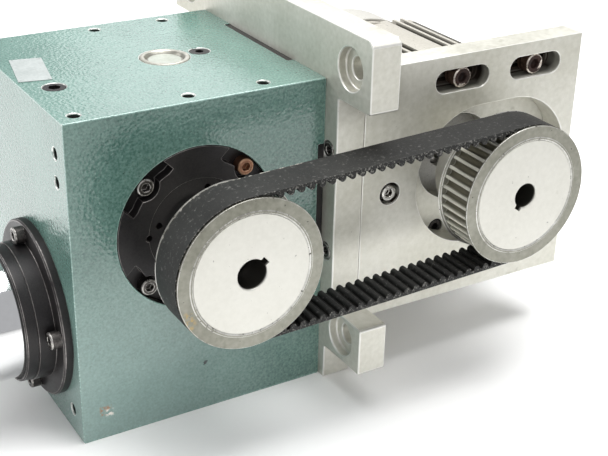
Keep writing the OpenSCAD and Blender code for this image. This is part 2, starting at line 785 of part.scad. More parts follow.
module input_pulley_key() {
    color(steel) translate([in_x, 0, input_z])
        pulley_key(input_end_d / 2, left_key_turn, key_y0 + seat, left_hub_end - key_tail - seat);
}

module input_pulley_set_screws() {
    color(black) translate([in_x, 0, input_z])
        pulley_grubs(input_end_d / 2, left_key_turn, left_hub_end - 7);
}

// Endless toothed belt around both pulleys.
module timing_belt() {
    color(rubber) translate([in_x, belt_y0 + belt_w, input_z]) rotate([0, -belt_tilt, 0])
        to_front() linear_extrude(belt_w) difference() {
            stadium(belt_out_r);
            polygon(belt_inner);
        }
}

module motor_pulley() {
    color(alu) translate([motor_x, pulley_y0, motor_z])
        pulley(motor_end_d, right_key_turn, right_hub_r, right_hub_end - pulley_y0);
}

module motor_pulley_flanges() {
    color(steel) translate([motor_x, pulley_y0, motor_z]) pulley_rims();
}

module motor_pulley_key() {
    color(steel) translate([motor_x, 0, motor_z])
        pulley_key(motor_end_d / 2, right_key_turn, key_y0 + seat, right_hub_end - key_tail - seat);
}

module motor_pulley_set_screws() {
    color(black) translate([motor_x, 0, motor_z])
        pulley_grubs(motor_end_d / 2, right_key_turn, right_hub_end - 7);
}

// Thick side bracket with four bored ears.
module bracket() {
    b = back_y + ear_reach;
    f = front_y - ear_reach;
    m = front_y - bracket_mid;
    color(alu) difference() {
        translate([br_x0, 0, 0]) rotate([90, 0, 90]) linear_extrude(bracket_t) polygon([
            [foot_y, 0], [foot_y, ear_low_z0], [f + 1, ear_low_z0], [f, ear_low_z0 + 1],
            [f, ear_low_z1 - 1], [f + 1, ear_low_z1], [m, ear_low_z1], [m, ear_top_z0],
            [f + 1, ear_top_z0], [f, ear_top_z0 + 1], [f, bracket_h - 4], [f + 4, bracket_h],
            [b - 4, bracket_h], [b, bracket_h - 4], [b, ear_top_z0], [back_y, ear_top_z0],
            [back_y, ear_low_z1], [b, ear_low_z1], [b, ear_low_z0], [back_y, ear_low_z0],
            [back_y, 0]]);
        for (y = [ear_y, -ear_y], z = [ear_hole_low, ear_hole_top]) {
            rod_x(y, z, 8, br_x0 - 1, br_x1 + 1);
            rod_x(y, z, 15.8, br_x0 - 1, br_x0 + 7);
        }
        // bracket screws enter from the right
        for (p = bracket_holes) {
            rod_x(p[0], p[1], 5.4, br_x0 - 1, br_x1 + 1);
            rod_x(p[0], p[1], 9, br_x1 - 11, br_x1 + 1);
        }
        // screws into the end of the motor plate
        for (s = [-1, 1]) {
            rod_x(plate_y0 + plate_t / 2, input_z + s * end_screw_dz, 4.3, br_x0 - 1, br_x1 + 1);
            rod_x(plate_y0 + plate_t / 2, input_z + s * end_screw_dz, 7.2, br_x0 - 1, br_x0 + 8);
            rod_x(plate_y1 + block_d / 2, input_z + s * 40, 4, br_x1 - 18, br_x1 + 1);
        }
    }
}

module bracket_screws() {
    color(steel) for (p = bracket_holes) translate([br_x1 - 11, p[0], p[1]])
        to_right() cap_screw(10, bracket_t - 11 + 15);
}

// Plate that carries the motor, with stepped slots and a long bore.
module motor_plate() {
    color(alu) difference() {
        translate([br_x1, plate_y0, plate_z0]) cube([plate_len, plate_t, plate_z1 - plate_z0]);
        translate([bore_cx, plate_y0, input_z])
            slot_y(2 * (plate_bore_r + bore_half), 2 * plate_bore_r, -1, plate_t + 1);
        for (s = [-1, 1], t = [-1, 1]) translate([slot_cx + s * slot_dx, plate_y0,
            input_z + t * slot_dz]) {
            slot_y(slot_len, slot_h, -1, slot_floor);
            slot_y(slot_len - slot_h + 9, 9, 0, plate_t + 1);
        }
        for (s = [-1, 1]) rod_x(plate_y0 + plate_t / 2, input_z + s * end_screw_dz, 4,
            br_x1 - 1, br_x1 + 20);
        translate([block_screw_x, plate_y0, input_z]) {
            rod_y(0, 0, 8.9, -1, 9);
            rod_y(0, 0, 4.3, 0, plate_t + 1);
        }
    }
}

// Round-ended slot along X, cut along Y.
module slot_y(len, h, y0, y1) {
    for (s = [-1, 1]) rod_y(s * (len - h) / 2, 0, h / 2, y0, y1);
    translate([-(len - h) / 2, y0, -h / 2]) cube([len - h, y1 - y0, h]);
}

module plate_end_screws() {
    color(steel) for (s = [-1, 1]) translate([br_x0 + 8, plate_y0 + plate_t / 2,
        input_z + s * end_screw_dz]) to_left() cap_screw(8, bracket_t - 8 + 16);
}

// Block in the corner between bracket and motor plate.
module corner_block() {
    color(alu) difference() {
        translate([br_x1, plate_y1, input_z - 60]) cube([block_x1 - br_x1, block_d, 120]);
        rod_y(block_screw_x, input_z, 4, plate_y1 - 1, plate_y1 + 16);
        for (s = [-1, 1]) {
            rod_x(plate_y1 + block_d / 2, input_z + s * 40, 4.3, br_x1 - 1, block_x1 + 1);
            rod_x(plate_y1 + block_d / 2, input_z + s * 40, 7.2, block_x1 - 9, block_x1 + 1);
        }
    }
}

// One screw from the front through the plate, two from the block into the bracket.
module corner_block_screws() {
    color(steel) {
        translate([block_screw_x, plate_y0 + 9, input_z]) to_front()
            cap_screw(8, plate_t - 9 + 14);
        for (s = [-1, 1]) translate([block_x1 - 9, plate_y1 + block_d / 2, input_z + s * 40])
            to_right() cap_screw(8, block_x1 - br_x1 - 9 + 16);
    }
}

// Plate that carries the motor and slides along the slots to tension the belt.
module slide_plate() {
    color(alu) difference() {
        translate([slide_x0, slide_y0, input_z - slide_half])
            cube([slide_x1 - slide_x0, slide_t, 2 * slide_half]);
        rod_y(motor_x, motor_z, 36, slide_y0 - 1, slide_y1 + 1);
        rod_y(motor_x, motor_z, 47.6, slide_y1 - 3.4, slide_y1 + 1);
        for (p = motor_holes) translate([motor_x + p[0], slide_y0, motor_z + p[1]]) {
            rod_y(0, 0, 7, -1, 9);
            rod_y(0, 0, 4.3, 0, slide_t + 1);
        }
        for (s = [-1, 1], t = [-1, 1]) rod_y(screw_cx + s * slot_dx, input_z + t * slot_dz,
            4, slide_y0 - 1, slide_y0 + 15);
    }
}

module slot_screws() {
    color(steel) for (s = [-1, 1], t = [-1, 1]) translate([screw_cx + s * slot_dx,
        plate_y0 + slot_floor - 1.6, input_z + t * slot_dz]) to_front()
        cap_screw(8, plate_t - slot_floor + 1.6 + 13);
}

module slot_washers() {
    color(steel) for (s = [-1, 1], t = [-1, 1]) ring_y(screw_cx + s * slot_dx,
        input_z + t * slot_dz, 8, 4.2, plate_y0 + slot_floor - 1.6, plate_y0 + slot_floor);
}

module motor_screws() {
    color(black) for (p = motor_holes) translate([motor_x + p[0], slide_y0 + 9,
        motor_z + p[1]]) to_front() cap_screw(8, slide_t - 9 + 9);
}

module motor_front_shield() {
    color(motor_grey) translate([motor_x, mo_y, motor_z]) difference() {
        union() {
            rod_y(0, 0, shield_r, 0, 12);
            rod_y(0, 0, 47.5, -3, 1);
            rod_y(0, 0, bore_r - seat, 11, 20);
        }
        rod_y(0, 0, mb_r + seat, 5, 21);
        rod_y(0, 0, 15, -4, 6);
        for (p = motor_holes) rod_y(p[0], p[1], 4, -1, 10);
    }
}

// Finned frame. A flat pad on top and a smooth side for the box interrupt the fins.
function fin(a) = let (r = fin_d / 2, w = 1.2)
    [polar(frame_r, a - 1.6), [r * cos(a) + w * sin(a), r * sin(a) - w * cos(a)],
        [r * cos(a) - w * sin(a), r * sin(a) + w * cos(a)], polar(frame_r, a + 1.6)];
frame_pad = [[27.5, frame_r - 7], [27.5, frame_r + 4.5], [-14, frame_r + 4.5], [-14, frame_r - 3]];
frame_points = concat([for (a = [-25:5:25]) polar(frame_r + 2, a)],
    [for (k = [0:7]) each fin(29.9 + k * 4.8)], frame_pad,
    [for (k = [0:46]) each fin(106.5 + k * 4.8)]);

module motor_frame() {
    color(motor_grey) difference() {
        union() {
            translate([motor_x, fr_y1, motor_z]) to_front() linear_extrude(frame_len)
                polygon(frame_points);
            translate([motor_x + frame_r - 12, box_y0, motor_z - 34])
                cube([box_x0 - motor_x - frame_r + 12, 74, 68]);
        }
        rod_y(motor_x, motor_z, bore_r, fr_y0 - 1, fr_y1 + 1);
        rod_x(box_y0 + 37, motor_z, 14, motor_x + 40, box_x0 + 1);
    }
}

module motor_rear_shield() {
    color(motor_grey) translate([motor_x, fr_y1, motor_z]) difference() {
        union() {
            rod_y(0, 0, frame_r - 1, 0, 8);
            rod_y(0, 0, bore_r - seat, -8, 1);
            rod_y(0, 0, 32, 7, 18);
        }
        rod_y(0, 0, mb_r + seat, -9, 2 + mb_w);
        rod_y(0, 0, 15, 0, 19);
    }
}

module motor_stator() {
    color(bronze) {
        ring_y(motor_x, motor_z, bore_r - seat, 40, fr_y0 + 16, fr_y1 - 16);
        ring_y(motor_x, motor_z, 56, 43, fr_y0 + 10, fr_y1 - 10);
    }
}

module motor_bearing_outer_rings() {
    color(steel) for (y = [mb_y0, mb_y1])
        race_outer(motor_x, motor_z, mb_r, mb_pitch, mb_ball, y, mb_w);
}

module motor_bearing_balls() {
    color(chrome) for (y = [mb_y0, mb_y1])
        balls(motor_x, motor_z, mb_pitch, mb_ball, y, mb_w, 8);
}

module motor_bearing_inner_rings() {
    color(steel) for (y = [mb_y0, mb_y1])
        race_inner(motor_x, motor_z, 10, mb_pitch, mb_ball, y, mb_w);
}

module motor_shaft() {
    color(steel) translate([motor_x, 0, motor_z]) difference() {
        union() {
            rod_y(0, 0, motor_end_d / 2, shaft_y0, mb_y0);
            translate([0, shaft_y0, 0]) to_front()
                cylinder(r1 = motor_end_d / 2, r2 = motor_end_d / 2 - 1, h = 1);
            rod_y(0, 0, 10, mb_y0 - 0.5, mb_y0 + mb_w + 0.5);
            rod_y(0, 0, 15, mb_y0 + mb_w, mb_y1);
            rod_y(0, 0, 10, mb_y1 - 0.5, fr_y1 + 46);
        }
        keyway(motor_end_d / 2 - 3.5, right_key_turn, 6, 5, key_y0, right_hub_end - key_tail);
    }
}

module motor_rotor() {
    color(steel) ring_y(motor_x, motor_z, 39.5, 15 + bore_fit, fr_y0 + 16, fr_y1 - 16);
}

module motor_fan() {
    color(black) translate([motor_x, fr_y1, motor_z]) difference() {
        union() {
            rod_y(0, 0, 18, 24, 44);
            rod_y(0, 0, 58, 24, 27);
            for (a = [0:45:315]) rotate([0, -a, 0]) translate([12, 26, -1.2]) cube([48, 16, 2.4]);
        }
        rod_y(0, 0, 10 + bore_fit, 20, 50);
    }
}

// Smooth cowl over the fan, with a rounded end and air slots.
module motor_cowl() {
    r = cowl_r;
    color(motor_grey) translate([motor_x, fr_y1, motor_z]) difference() {
        to_back() rotate_extrude() difference() {
            cowl_shape(r, cowl_len);
            translate([-0.01, -0.01]) cowl_shape(r - 2, cowl_len - 2);
        }
        for (a = [0:30:330]) rotate([0, -a, 0]) translate([16, cowl_len - 12, -2.5])
            cube([26, 20, 5]);
    }
}

module cowl_shape(r, h) {
    square([r, h - 30]);
    square([r - 30, h]);
    intersection() {
        translate([r - 30, h - 30]) circle(r = 30);
        square([r, h]);
    }
}

module terminal_box() {
    color(motor_grey) translate([box_x0, box_y0, motor_z - 34]) difference() {
        cube([28, 74, 68]);
        translate([3, 4, 4]) cube([26, 66, 60]);
        rod_x(37, 34, 14, -1, 4);
        translate([15, 37, -1]) cylinder(d = 16, h = 6);
    }
}

module terminal_lid() {
    color(motor_grey) translate([box_x0 + 28, box_y0 - 1, motor_z - 35]) difference() {
        cube([6, 76, 70]);
        for (y = [6, 70], z = [6, 64]) rod_x(y, z, 4, 4, 7);
    }
}

module cable_gland() {
    color(black) translate([box_x0 + 15, box_y0 + 37, motor_z - 34]) difference() {
        union() {
            translate([0, 0, -1]) cylinder(d = 15.8, h = 5);
            translate([0, 0, -7]) cylinder(d = 24, h = 7, $fn = 6);
            translate([0, 0, -18]) cylinder(d = 20, h = 12);
        }
        translate([0, 0, -19]) cylinder(d = 10, h = 25);
    }
}

housing();
rating_label();
sight_cap();
top_plugs();
bearing_cartridge();
cartridge_screws();
cartridge_ring_nut();
shaft_seal();
bearing_outer_rings();
bearing_balls();
bearing_inner_rings();
rear_cap();
rear_cap_screws();
side_cover();
side_cover_screws();
ram_flange();
ram_flange_screws();
ram_bush();
ram_keeper();
ram_wiper();
ram_saddle();
ram_saddle_screws();
ram();
input_shaft();
pinion();
pinion_key();
shaft_spacer();
input_pulley();
input_pulley_flanges();
input_pulley_key();
input_pulley_set_screws();
timing_belt();
motor_pulley();
motor_pulley_flanges();
motor_pulley_key();
motor_pulley_set_screws();
bracket();
bracket_screws();
motor_plate();
plate_end_screws();
corner_block();
corner_block_screws();
slide_plate();
slot_screws();
slot_washers();
motor_screws();
motor_front_shield();
motor_frame();
motor_rear_shield();
motor_stator();
motor_bearing_outer_rings();
motor_bearing_balls();
motor_bearing_inner_rings();
motor_shaft();
motor_rotor();
motor_fan();
motor_cowl();
terminal_box();
terminal_lid();
cable_gland();
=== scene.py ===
import json
import math

import bpy
from mathutils import Matrix, Vector

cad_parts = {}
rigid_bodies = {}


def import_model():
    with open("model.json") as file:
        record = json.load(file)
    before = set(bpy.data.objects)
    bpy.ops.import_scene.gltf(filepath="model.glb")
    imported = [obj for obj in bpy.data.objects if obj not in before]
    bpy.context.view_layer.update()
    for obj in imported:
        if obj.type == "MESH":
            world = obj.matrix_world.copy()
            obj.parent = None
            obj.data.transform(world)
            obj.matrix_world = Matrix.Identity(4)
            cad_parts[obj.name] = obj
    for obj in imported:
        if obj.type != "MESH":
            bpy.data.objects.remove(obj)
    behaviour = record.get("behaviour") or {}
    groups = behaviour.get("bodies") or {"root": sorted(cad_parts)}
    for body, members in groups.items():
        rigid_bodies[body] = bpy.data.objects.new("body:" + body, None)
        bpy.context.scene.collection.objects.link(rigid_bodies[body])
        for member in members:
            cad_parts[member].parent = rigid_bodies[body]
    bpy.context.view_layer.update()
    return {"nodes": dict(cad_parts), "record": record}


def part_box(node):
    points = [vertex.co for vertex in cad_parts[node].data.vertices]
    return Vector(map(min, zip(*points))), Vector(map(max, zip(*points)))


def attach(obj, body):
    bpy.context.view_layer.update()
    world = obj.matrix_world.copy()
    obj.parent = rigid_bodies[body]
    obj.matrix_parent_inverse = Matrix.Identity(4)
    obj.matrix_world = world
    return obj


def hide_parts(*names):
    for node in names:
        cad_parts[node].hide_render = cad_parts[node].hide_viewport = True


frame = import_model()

# Gear housing: a cast iron box, machined flat on every side and sprayed with a sea-green
# hammered paint. Along the edges the paint is paler, partly worn thin and partly a painted
# highlight. The walls of its holes are bare iron, near black with painted shade, and the
# lower front left corner is paler with painted light from the floor.
MM = 0.001
housing_low, housing_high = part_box("housing")
housing_mid = [(a + b) / 2 for a, b in zip(housing_low, housing_high)]
housing_half = [(b - a) / 2 for a, b in zip(housing_low, housing_high)]
PAINT_DEEP = (0.050, 0.122, 0.100, 1)
PAINT_LIGHT = (0.140, 0.250, 0.214, 1)
PAINT_EDGE_WEAR_AND_HIGHLIGHT = (0.30, 0.44, 0.40, 1)
PAINT_FLOOR_GLOW = (0.36, 0.48, 0.455, 1)
FLOOR_GLOW_SHARE = 0.55
BARE_IRON_IN_SHADE = (0.030, 0.032, 0.030, 1)
FLAT_SKIN = 1.1 * MM
SHORT_FACE = 3.2 * MM
HAMMERED = {"lump_size": 400.0, "lump_depth": 0.0008, "gloss": 1.0}
# centre, half size and colour of each knock: brown primer, bare metal, a dark pit
PAINT_KNOCKS = (
    ((-0.0818, -0.0975, 0.0232), (0.0052, 0.004, 0.0046), (0.30, 0.19, 0.12, 1)),
    ((-0.0790, -0.0975, 0.0212), (0.0036, 0.004, 0.0036), (0.75, 0.72, 0.66, 1)),
    ((-0.0006, -0.0975, 0.0400), (0.0026, 0.004, 0.0026), (0.02, 0.03, 0.03, 1)))


def shader_group(name, inputs, outputs):
    """A new shader node group with these sockets, and its input and output nodes."""
    group = bpy.data.node_groups.new(name, "ShaderNodeTree")
    for label, kind, value in inputs:
        socket = group.interface.new_socket(label, in_out="INPUT", socket_type=kind)
        socket.default_value = value
    for label, kind in outputs:
        group.interface.new_socket(label, in_out="OUTPUT", socket_type=kind)
    return group, group.nodes.new("NodeGroupInput"), group.nodes.new("NodeGroupOutput")


def add_node(tree, kind, settings=(), **links):
    """Adds a node, sets its properties, and joins or fills the named input sockets."""
    made = tree.nodes.new(kind)
    for key, value in dict(settings).items():
        setattr(made, key, value)
    for key, value in links.items():
        label = key.replace("_", " ")
        wanted = [s for s in made.inputs if s.name == label and s.enabled]
        socket = wanted[0] if wanted else made.inputs[int(key[1:])]
        if isinstance(value, bpy.types.NodeSocket):
            tree.links.new(value, socket)
        else:
            socket.default_value = value
    return made


# shared effect: two tints in soft patches with fine specks, on object coordinates
mottle, ins, outs = shader_group("mottled_tint", [
    ("First", "NodeSocketColor", (0.5, 0.5, 0.5, 1)),
    ("Second", "NodeSocketColor", (0.7, 0.7, 0.7, 1)),
    ("Patches", "NodeSocketFloat", 20.0),
    ("Specks", "NodeSocketFloat", 600.0),
    ("Speck Share", "NodeSocketFloat", 0.5),
], [("Color", "NodeSocketColor"), ("Fac", "NodeSocketFloat")])
place = add_node(mottle, "ShaderNodeTexCoord")
soft = add_node(mottle, "ShaderNodeTexNoise", Vector=place.outputs["Object"],
                Scale=ins.outputs["Patches"], Detail=3.0)
fine = add_node(mottle, "ShaderNodeTexNoise", Vector=place.outputs["Object"],
                Scale=ins.outputs["Specks"], Detail=2.0)
both = add_node(mottle, "ShaderNodeMix", {"data_type": "FLOAT"},
                Factor=ins.outputs["Speck Share"],
                A=soft.outputs["Fac"], B=fine.outputs["Fac"])
crisp = add_node(mottle, "ShaderNodeMapRange", Value=both.outputs["Result"],
                 From_Min=0.34, From_Max=0.66)
tint = add_node(mottle, "ShaderNodeMix", {"data_type": "RGBA"},
                Factor=crisp.outputs["Result"])
mottle.links.new(ins.outputs["First"], tint.inputs[6])
mottle.links.new(ins.outputs["Second"], tint.inputs[7])
mottle.links.new(tint.outputs[2], outs.inputs["Color"])
mottle.links.new(crisp.outputs["Result"], outs.inputs["Fac"])

# shared effect: small scattered marks such as chips, pits, stains or dust
marks, ins, outs = shader_group("scattered_marks", [
    ("Size", "NodeSocketFloat", 60.0),
    ("Share", "NodeSocketFloat", 0.1),
    ("Softness", "NodeSocketFloat", 0.05),
], [("Mask", "NodeSocketFloat")])
place = add_node(marks, "ShaderNodeTexCoord")
spots = add_node(marks, "ShaderNodeTexNoise", Vector=place.outputs["Object"],
                 Scale=ins.outputs["Size"], Detail=4.0, Roughness=0.65)
start = add_node(marks, "ShaderNodeMath", {"operation": "SUBTRACT"}, _0=0.78)
marks.links.new(ins.outputs["Share"], start.inputs[1])
stop = add_node(marks, "ShaderNodeMath", {"operation": "ADD"}, _0=start.outputs[0])
marks.links.new(ins.outputs["Softness"], stop.inputs[1])
cut = add_node(marks, "ShaderNodeMapRange", Value=spots.outputs["Fac"],
               From_Min=start.outputs[0], From_Max=stop.outputs[0])
marks.links.new(cut.outputs["Result"], outs.inputs["Mask"])

# shared effect: surface height of grain, stretched along one axis or even
grain, ins, outs = shader_group("grain_height", [
    ("Stretch", "NodeSocketVector", (1, 1, 1)),
    ("Size", "NodeSocketFloat", 400.0),
    ("Roundness", "NodeSocketFloat", 0.0),
], [("Height", "NodeSocketFloat")])
place = add_node(grain, "ShaderNodeTexCoord")
drawn = add_node(grain, "ShaderNodeVectorMath", {"operation": "MULTIPLY"},
                 _0=place.outputs["Object"])
grain.links.new(ins.outputs["Stretch"], drawn.inputs[1])
rough = add_node(grain, "ShaderNodeTexNoise", Vector=drawn.outputs[0],
                 Scale=ins.outputs["Size"], Detail=3.0)
cells = add_node(grain, "ShaderNodeTexVoronoi", {"feature": "SMOOTH_F1"},
                 Vector=drawn.outputs[0], Scale=ins.outputs["Size"], Smoothness=0.6)
mixed = add_node(grain, "ShaderNodeMix", {"data_type": "FLOAT"},
                 Factor=ins.outputs["Roundness"], A=rough.outputs["Fac"],
                 B=cells.outputs["Distance"])
grain.links.new(mixed.outputs["Result"], outs.inputs["Height"])

# shared effect: a mask that is full inside a box in the part and fades at its sides
inside, ins, outs = shader_group("inside_a_box", [
    ("Centre", "NodeSocketVector", (0, 0, 0)),
    ("Half", "NodeSocketVector", (1, 1, 1)),
    ("Fade", "NodeSocketFloat", 0.0005),
], [("Mask", "NodeSocketFloat")])
place = add_node(inside, "ShaderNodeTexCoord")
away = add_node(inside, "ShaderNodeVectorMath", {"operation": "SUBTRACT"},
                _0=place.outputs["Object"], _1=ins.outputs["Centre"])
away = add_node(inside, "ShaderNodeVectorMath", {"operation": "ABSOLUTE"},
                _0=away.outputs[0])
away = add_node(inside, "ShaderNodeVectorMath", {"operation": "SUBTRACT"},
                _0=away.outputs[0], _1=ins.outputs["Half"])
sides = add_node(inside, "ShaderNodeSeparateXYZ", Vector=away.outputs[0])
most = add_node(inside, "ShaderNodeMath", {"operation": "MAXIMUM"},
                _0=sides.outputs[0], _1=sides.outputs[1])
most = add_node(inside, "ShaderNodeMath", {"operation": "MAXIMUM"},
                _0=most.outputs[0], _1=sides.outputs[2])
ratio = add_node(inside, "ShaderNodeMath", {"operation": "DIVIDE"},
                 _0=most.outputs[0], _1=ins.outputs["Fade"])
turned = add_node(inside, "ShaderNodeMath", {"operation": "MULTIPLY", "use_clamp": True},
                  _0=ratio.outputs[0], _1=-1.0)
inside.links.new(turned.outputs[0], outs.inputs["Mask"])


def finish(name, metallic=0.0, roughness=0.5, **more):
    """A new material with its Principled shader, whose plain values are set here."""
    material = bpy.data.materials.new(name)
    material.use_nodes = True
    tree = material.node_tree
    shader = tree.nodes["Principled BSDF"]
    shader.inputs["Metallic"].default_value = metallic
    shader.inputs["Roughness"].default_value = roughness
    for key, value in more.items():
        shader.inputs[key.replace("_", " ")].default_value = value
    return material, tree, shader


def group_node(tree, group, **values):
    """Places a shared effect in a material with its own values."""
    made = tree.nodes.new("ShaderNodeGroup")
    made.node_tree = group
    for key, value in values.items():
        made.inputs[key.replace("_", " ")].default_value = value
    return made


def blend_colour(tree, mask, below, above):
    """Lays a colour over another one through a mask, and returns the result."""
    mixer = tree.nodes.new("ShaderNodeMix")
    mixer.data_type = "RGBA"
    tree.links.new(mask, mixer.inputs[0])
    for socket, value in ((mixer.inputs[6], below), (mixer.inputs[7], above)):
        if isinstance(value, bpy.types.NodeSocket):
            tree.links.new(value, socket)
        else:
            socket.default_value = value
    return mixer.outputs[2]


def lay_box(tree, colour, above, **box):
    """Lays a colour over another one inside a box of the piece."""
    where = group_node(tree, inside, **box)
    return blend_colour(tree, where.outputs[0], colour, above)


def overlap(tree, first, second):
    """A mask times another mask or a plain share."""
    both = add_node(tree, "ShaderNodeMath", {"operation": "MULTIPLY"}, _0=first, _1=second)
    return both.outputs[0]


def lay_marks(tree, colour, above, box, spots):
    """Lays ragged marks of a colour inside a box of the piece."""
    where = group_node(tree, inside, **box)
    ragged = group_node(tree, marks, **spots)
    mask = overlap(tree, where.outputs[0], ragged.outputs[0])
    return blend_colour(tree, mask, colour, above)


def darker(colour, share):
    """The same hue at a share of its brightness."""
    return tuple(share * value for value in colour[:3]) + (1,)


def bump(tree, shader, height, strength, depth):
    """Feeds a height through a Bump node into the shader's normal."""
    made = add_node(tree, "ShaderNodeBump", Strength=strength, Distance=depth)
    tree.links.new(height, made.inputs["Height"])
    tree.links.new(made.outputs["Normal"], shader.inputs["Normal"])


def uneven_roughness(tree, shader, mask, low, high):
    """Roughness that wanders between two values with a mask."""
    span = add_node(tree, "ShaderNodeMapRange", Value=mask, To_Min=low, To_Max=high)
    tree.links.new(span.outputs["Result"], shader.inputs["Roughness"])


def two_toned(name, first, second, patches, specks, speck_share, **plain):
    """A material in two wandering tones, its nodes, and the mask that the tones follow."""
    material, tree, shader = finish(name, **plain)
    colour = group_node(tree, mottle, First=first, Second=second, Patches=patches,
                        Specks=specks, Speck_Share=speck_share)
    tree.links.new(colour.outputs[0], shader.inputs["Base Color"])
    return material, tree, shader, colour.outputs[1]


def painted(name, deep, light, lump_size, lump_depth, gloss, rough_low, rough_high):
    """Hammered or smooth enamel in two close tints, with small dark chips and creases."""
    material, tree, shader = finish(name, Specular_IOR_Level=gloss)
    colour = group_node(tree, mottle, First=deep, Second=light, Patches=14.0,
                        Specks=620.0, Speck_Share=0.62)
    chips = group_node(tree, marks, Size=95.0, Share=-0.02, Softness=0.02)
    chipped = blend_colour(tree, chips.outputs[0], colour.outputs[0], darker(deep, 0.3))
    creases = group_node(tree, marks, Size=430.0, Share=0.165, Softness=0.10)
    chipped = blend_colour(tree, creases.outputs[0], chipped, darker(deep, 0.45))
    lumps = group_node(tree, grain, Size=lump_size, Roundness=0.45)
    uneven_roughness(tree, shader, colour.outputs[1], rough_low, rough_high)
    bump(tree, shader, lumps.outputs[0], strength=0.5, depth=lump_depth)
    return material, tree, shader, chipped


housing_paint, tree, shader, colour = painted(
    "housing_paint", PAINT_DEEP, PAINT_LIGHT, rough_low=0.12, rough_high=0.24, **HAMMERED)
# painted light: the paint turns paler towards the lower front left corner, standing in for
# light thrown up by the white floor
floor_glow = group_node(tree, inside, Centre=(housing_low[0], housing_low[1], 0.02),
                  Half=(0.17, 0.10, 0.13), Fade=0.13)
colour = blend_colour(tree, overlap(tree, floor_glow.outputs[0], FLOOR_GLOW_SHARE), colour, PAINT_FLOOR_GLOW)
# painted shade: surfaces deeper than the paint's skin, the walls of holes and pockets, are
# bare iron made near black
colour = lay_box(tree, colour, BARE_IRON_IN_SHADE, Centre=housing_mid, Fade=0.0004,
                 Half=[side - FLAT_SKIN for side in housing_half])
for centre, half, tone in PAINT_KNOCKS:
    colour = lay_marks(tree, colour, tone,
                       {"Centre": centre, "Half": half, "Fade": 0.0016},
                       {"Size": 330.0, "Share": 0.30, "Softness": 0.05})
tree.links.new(colour, shader.inputs["Base Color"])
# painted highlight: the rounded edges take a much paler paint, partly worn thin paint and
# partly the light the edges catch
paint_edge_wear_and_highlight, tree, shader, colour = painted(
    "paint_on_edges_worn_and_highlit", PAINT_LIGHT, PAINT_EDGE_WEAR_AND_HIGHLIGHT, rough_low=0.18, rough_high=0.30, **HAMMERED)
tree.links.new(colour, shader.inputs["Base Color"])
body_name = {node: body for body, nodes in frame["record"]["behaviour"]["bodies"].items()
             for node in nodes}


def select_only(piece):
    """Makes this the one selected and active object."""
    bpy.ops.object.select_all(action="DESELECT")
    piece.select_set(True)
    bpy.context.view_layer.objects.active = piece


def rounded_copy(node, width, faces, edges, steps=2, shortest=0.0):
    """Copies a CAD node, merges it, rounds its sharp edges and replaces it."""
    select_only(frame["nodes"][node])
    bpy.ops.object.duplicate()
    piece = bpy.context.object
    bpy.ops.object.parent_clear(type="CLEAR_KEEP_TRANSFORM")
    piece.name = piece.data.name = node + "_rounded"
    piece.data.materials.clear()
    piece.data.materials.append(faces)
    piece.data.materials.append(edges)
    bpy.ops.object.mode_set(mode="EDIT")
    bpy.ops.mesh.select_mode(type="EDGE")
    bpy.ops.mesh.select_all(action="SELECT")
    bpy.ops.mesh.remove_doubles(threshold=0.000002)
    bpy.ops.mesh.dissolve_limited(angle_limit=math.radians(0.4))
    bpy.ops.mesh.select_all(action="DESELECT")
    bpy.ops.mesh.edges_select_sharp(sharpness=math.radians(32))
    bpy.ops.object.mode_set(mode="OBJECT")
    points = piece.data.vertices
    lengths = [(points[e.vertices[0]].co - points[e.vertices[1]].co).length
               for e in piece.data.edges]
    weights = piece.data.attributes.new("bevel_weight_edge", "FLOAT", "EDGE")
    weights.data.foreach_set("value", [float(e.select and length > shortest)
                                       for e, length in zip(piece.data.edges, lengths)])
    bevel = piece.modifiers.new("rounded edges", "BEVEL")
    bevel.width = width
    bevel.segments = steps
    bevel.limit_method = "WEIGHT"
    bevel.use_clamp_overlap = False
    bevel.miter_outer = "MITER_ARC"
    bevel.material = 1
    bpy.ops.object.modifier_apply(modifier=bevel.name)
    bpy.ops.object.shade_smooth_by_angle(angle=math.radians(38))
    flat = piece.modifiers.new("flat faces", "WEIGHTED_NORMAL")
    flat.keep_sharp = True
    bpy.ops.object.modifier_apply(modifier=flat.name)
    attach(piece, body_name[node])
    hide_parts(node)
    return piece


def dress(material, *nodes):
    """Gives CAD nodes their material."""
    for node in nodes:
        piece = frame["nodes"][node]
        piece.data.materials.clear()
        piece.data.materials.append(material)


bare_rim = two_toned(
    "bare_hole_rims", (0.42, 0.44, 0.41, 1), (0.80, 0.82, 0.79, 1),
    patches=70.0, specks=400.0, speck_share=0.4, metallic=0.7, roughness=0.28)[0]
housing = rounded_copy("housing", 1.0 * MM, housing_paint, paint_edge_wear_and_highlight)
housing.data.materials.append(bare_rim)
points = housing.data.vertices
for face in housing.data.polygons:
    corners = [points[index].co for index in face.vertices]
    longest = max((a - b).length for a in corners for b in corners)
    if face.material_index == 1 and longest < SHORT_FACE:
        face.material_index = 2
dress(housing_paint, "rear_cap")

